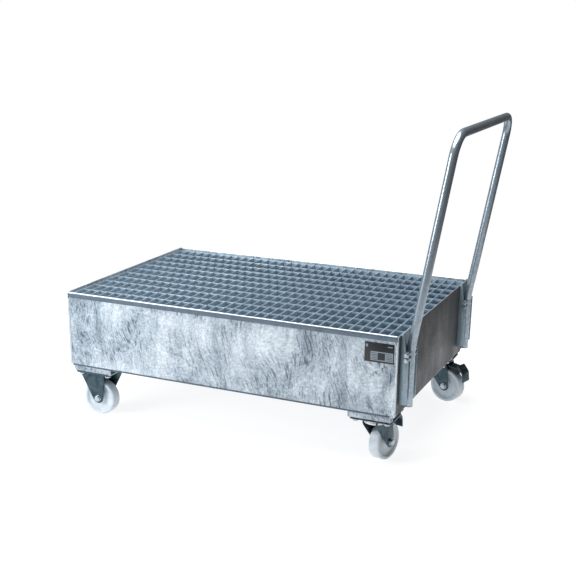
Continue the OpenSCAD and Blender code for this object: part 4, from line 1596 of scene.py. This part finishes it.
            turn = seat @ Matrix.Rotation(math.atan2(-joint["axis"][0], joint["axis"][1]), 4, "Z")
            for pattern, piece, body, finish, node in parts:
                copy = clone(pattern, piece.format(side), seat if pattern is plate else turn)
                fit(copy, body.format(side), finish, node.format(side))
        for pattern, *_ in parts:
            bpy.data.objects.remove(pattern)
        dress_node("race_balls", BALL_STEEL)
        dress_node("king_pins", BRIGHT_ZINC)


@dataclass
class PlateFixings(Castor):
    """Bolts, washers and nuts that hold the four castor plates to the feet."""

    foot_t: float = 4.0
    washer_t: float = 2.0

    def build(self) -> None:
        """Builds one of each and copies it to the sixteen holes."""
        d, under = self.bolt, -self.plate_t - self.washer_t
        places = []
        for node in ("fixed_fork_front", "fixed_fork_rear", "swivel_plate_front", "swivel_plate_rear"):
            for sx in (-1, 1):
                for sy in (-1, 1):
                    hole = mm(sx * self.bolts_x / 2, sy * self.bolts_y / 2, 0)
                    places.append(Matrix.Translation(top_of(node) + hole))
        shank = smooth(rod("shank", mm(0, 0, under), mm(0, 0, self.foot_t + 0.8 * d), d / 2 * MM, 20))
        head = hex_head("head", mm(0, 0, under), -Z, 1.7 * d, 0.64 * d)
        nut = join("nut", [
            hex_head("nut", mm(0, 0, self.foot_t), Z, 1.6 * d, 0.8 * d),
            threaded_end("thread", mm(0, 0, self.foot_t + 0.8 * d), Z, d / 2, 0.2 * d - 0.3),
        ])
        washer = disc_washer("washer", mm(0, 0, under), Z, d, self.washer_t)
        fit(clones(join("bolt", [shank, head]), "plate_bolts", places), "tray", BRIGHT_ZINC, "castor_bolts")
        fit(clones(nut, "plate_nuts", places), "tray", BRIGHT_ZINC, "castor_nuts")
        fit(clones(washer, "plate_washers", places), "tray", BRIGHT_ZINC, "castor_washers")


# ---------- the studio ----------


@dataclass
class Studio:
    """Pale floor, soft light from the front left and above, and the camera."""

    eye: Vector = field(default_factory=lambda: Vector((1.4403, -3.3050, 1.3822)))
    azimuth: float = 24.54
    elevation: float = 18.21
    roll: float = 0.48
    lens: float = 65.77
    shift: tuple[float, float] = (0.0264, 0.1178)

    def camera(self) -> None:
        """Camera at the viewing angle, with no depth of field."""
        data = bpy.data.cameras.new("camera")
        data.lens, data.sensor_width = self.lens, 36
        data.shift_x, data.shift_y = self.shift
        data.clip_start, data.clip_end = 0.1, 60
        eye = bpy.data.objects.new("camera", data)
        bpy.context.scene.collection.objects.link(eye)
        az, el, roll = (math.radians(a) for a in (self.azimuth, self.elevation, self.roll))
        back = Vector((math.sin(az) * math.cos(el), -math.cos(az) * math.cos(el), math.sin(el)))
        right = (-back).cross(Z).normalized()
        up = right.cross(-back)
        across = math.cos(roll) * right + math.sin(roll) * up
        above = -math.sin(roll) * right + math.cos(roll) * up
        turn = Matrix((across, above, back)).transposed().to_4x4()
        eye.matrix_world = Matrix.Translation(self.eye) @ turn
        bpy.context.scene.camera = eye

    def soft_box(self, name: str, at: Vector, aim: Vector, size: Point, power: float, colour: str) -> None:
        """Large area light.

        Args:
            name: name of the light.
            at: its place.
            aim: point that it faces.
            size: its width and height in metres.
            power: its power in watts.
            colour: its colour.
        """
        data = bpy.data.lights.new(name, "AREA")
        data.shape, data.size, data.size_y = "RECTANGLE", size[0], size[1]
        data.energy, data.color = power, rgba(colour)[:3]
        lamp = bpy.data.objects.new(name, data)
        lamp.location = at
        lamp.rotation_euler = (aim - at).to_track_quat("-Z", "Y").to_euler()
        bpy.context.scene.collection.objects.link(lamp)

    def sky(self) -> None:
        """Surroundings: bright on the front left, dim on the handle's side."""
        world = bpy.data.worlds.new("studio")
        world.use_nodes = True
        bpy.context.scene.world = world
        tree = world.node_tree
        ground = tree.nodes["Background"]
        where = add_node(tree, "TexCoord").outputs["Generated"]
        side = Vector((-0.72, -0.58, 0.38)).normalized()
        facing = add_node(tree, "VectorMath", {0: where, 1: side}, operation="DOT_PRODUCT")
        ramp = add_node(
            tree, "MapRange",
            {"Value": facing.outputs["Value"], "From Min": -0.35, "From Max": 0.95,
             "To Min": 0.10, "To Max": 0.28},
            interpolation_type="SMOOTHSTEP",
        )
        seen = add_node(tree, "LightPath")
        strength = add_node(
            tree, "Mix", {0: seen.outputs["Is Camera Ray"], 2: ramp.outputs[0], 3: 1.0}, data_type="FLOAT"
        )
        tree.links.new(strength.outputs[0], ground.inputs["Strength"])
        ground.inputs["Color"].default_value = (1, 1, 1, 1)

    def floor(self) -> None:
        """Round pale floor, whose edge melts into the surroundings."""
        deselect()
        bpy.ops.mesh.primitive_circle_add(vertices=96, radius=2.1, fill_type="NGON")
        floor = settle("studio_floor")
        made = bpy.data.materials.new("pale_floor")
        made.use_nodes = True
        tree = made.node_tree
        shader = tree.nodes["Principled BSDF"]
        shader.inputs["Base Color"].default_value = rgba("#8c8d8e")
        shader.inputs["Roughness"].default_value = 0.9
        shader.inputs["Specular IOR Level"].default_value = 0.0
        shader.inputs["Emission Color"].default_value = rgba("#ffffff")
        shader.inputs["Emission Strength"].default_value = 0.84
        floor.data.materials.append(made)

    def build(self) -> None:
        """Sets up camera, lights, surroundings and floor."""
        self.camera()
        self.sky()
        self.floor()
        middle = Vector((0, 0, 0.4))
        self.soft_box("key", Vector((-1.7, -1.9, 0.95)), Vector((-0.6, 0, 0.35)), (1.0, 1.0), 38, "#f6fbff")
        self.soft_box("overhead", Vector((-0.5, -0.5, 3.1)), middle, (3.2, 2.6), 190, "#ffffff")
        bpy.context.scene.view_settings.view_transform = "Standard"


def main() -> None:
    """Builds the dolly piece by piece."""
    logging.basicConfig(level=logging.INFO, format="%(name)s: %(message)s")
    Studio().build()
    tray = Tray()
    tray.build()
    Label().build()
    Feet().build()
    Grating().build()
    Handle(tray).build()
    FixedCastor().build()
    SwivelCastor().build()
    PlateFixings().build()


if __name__ == "__main__":
    main()
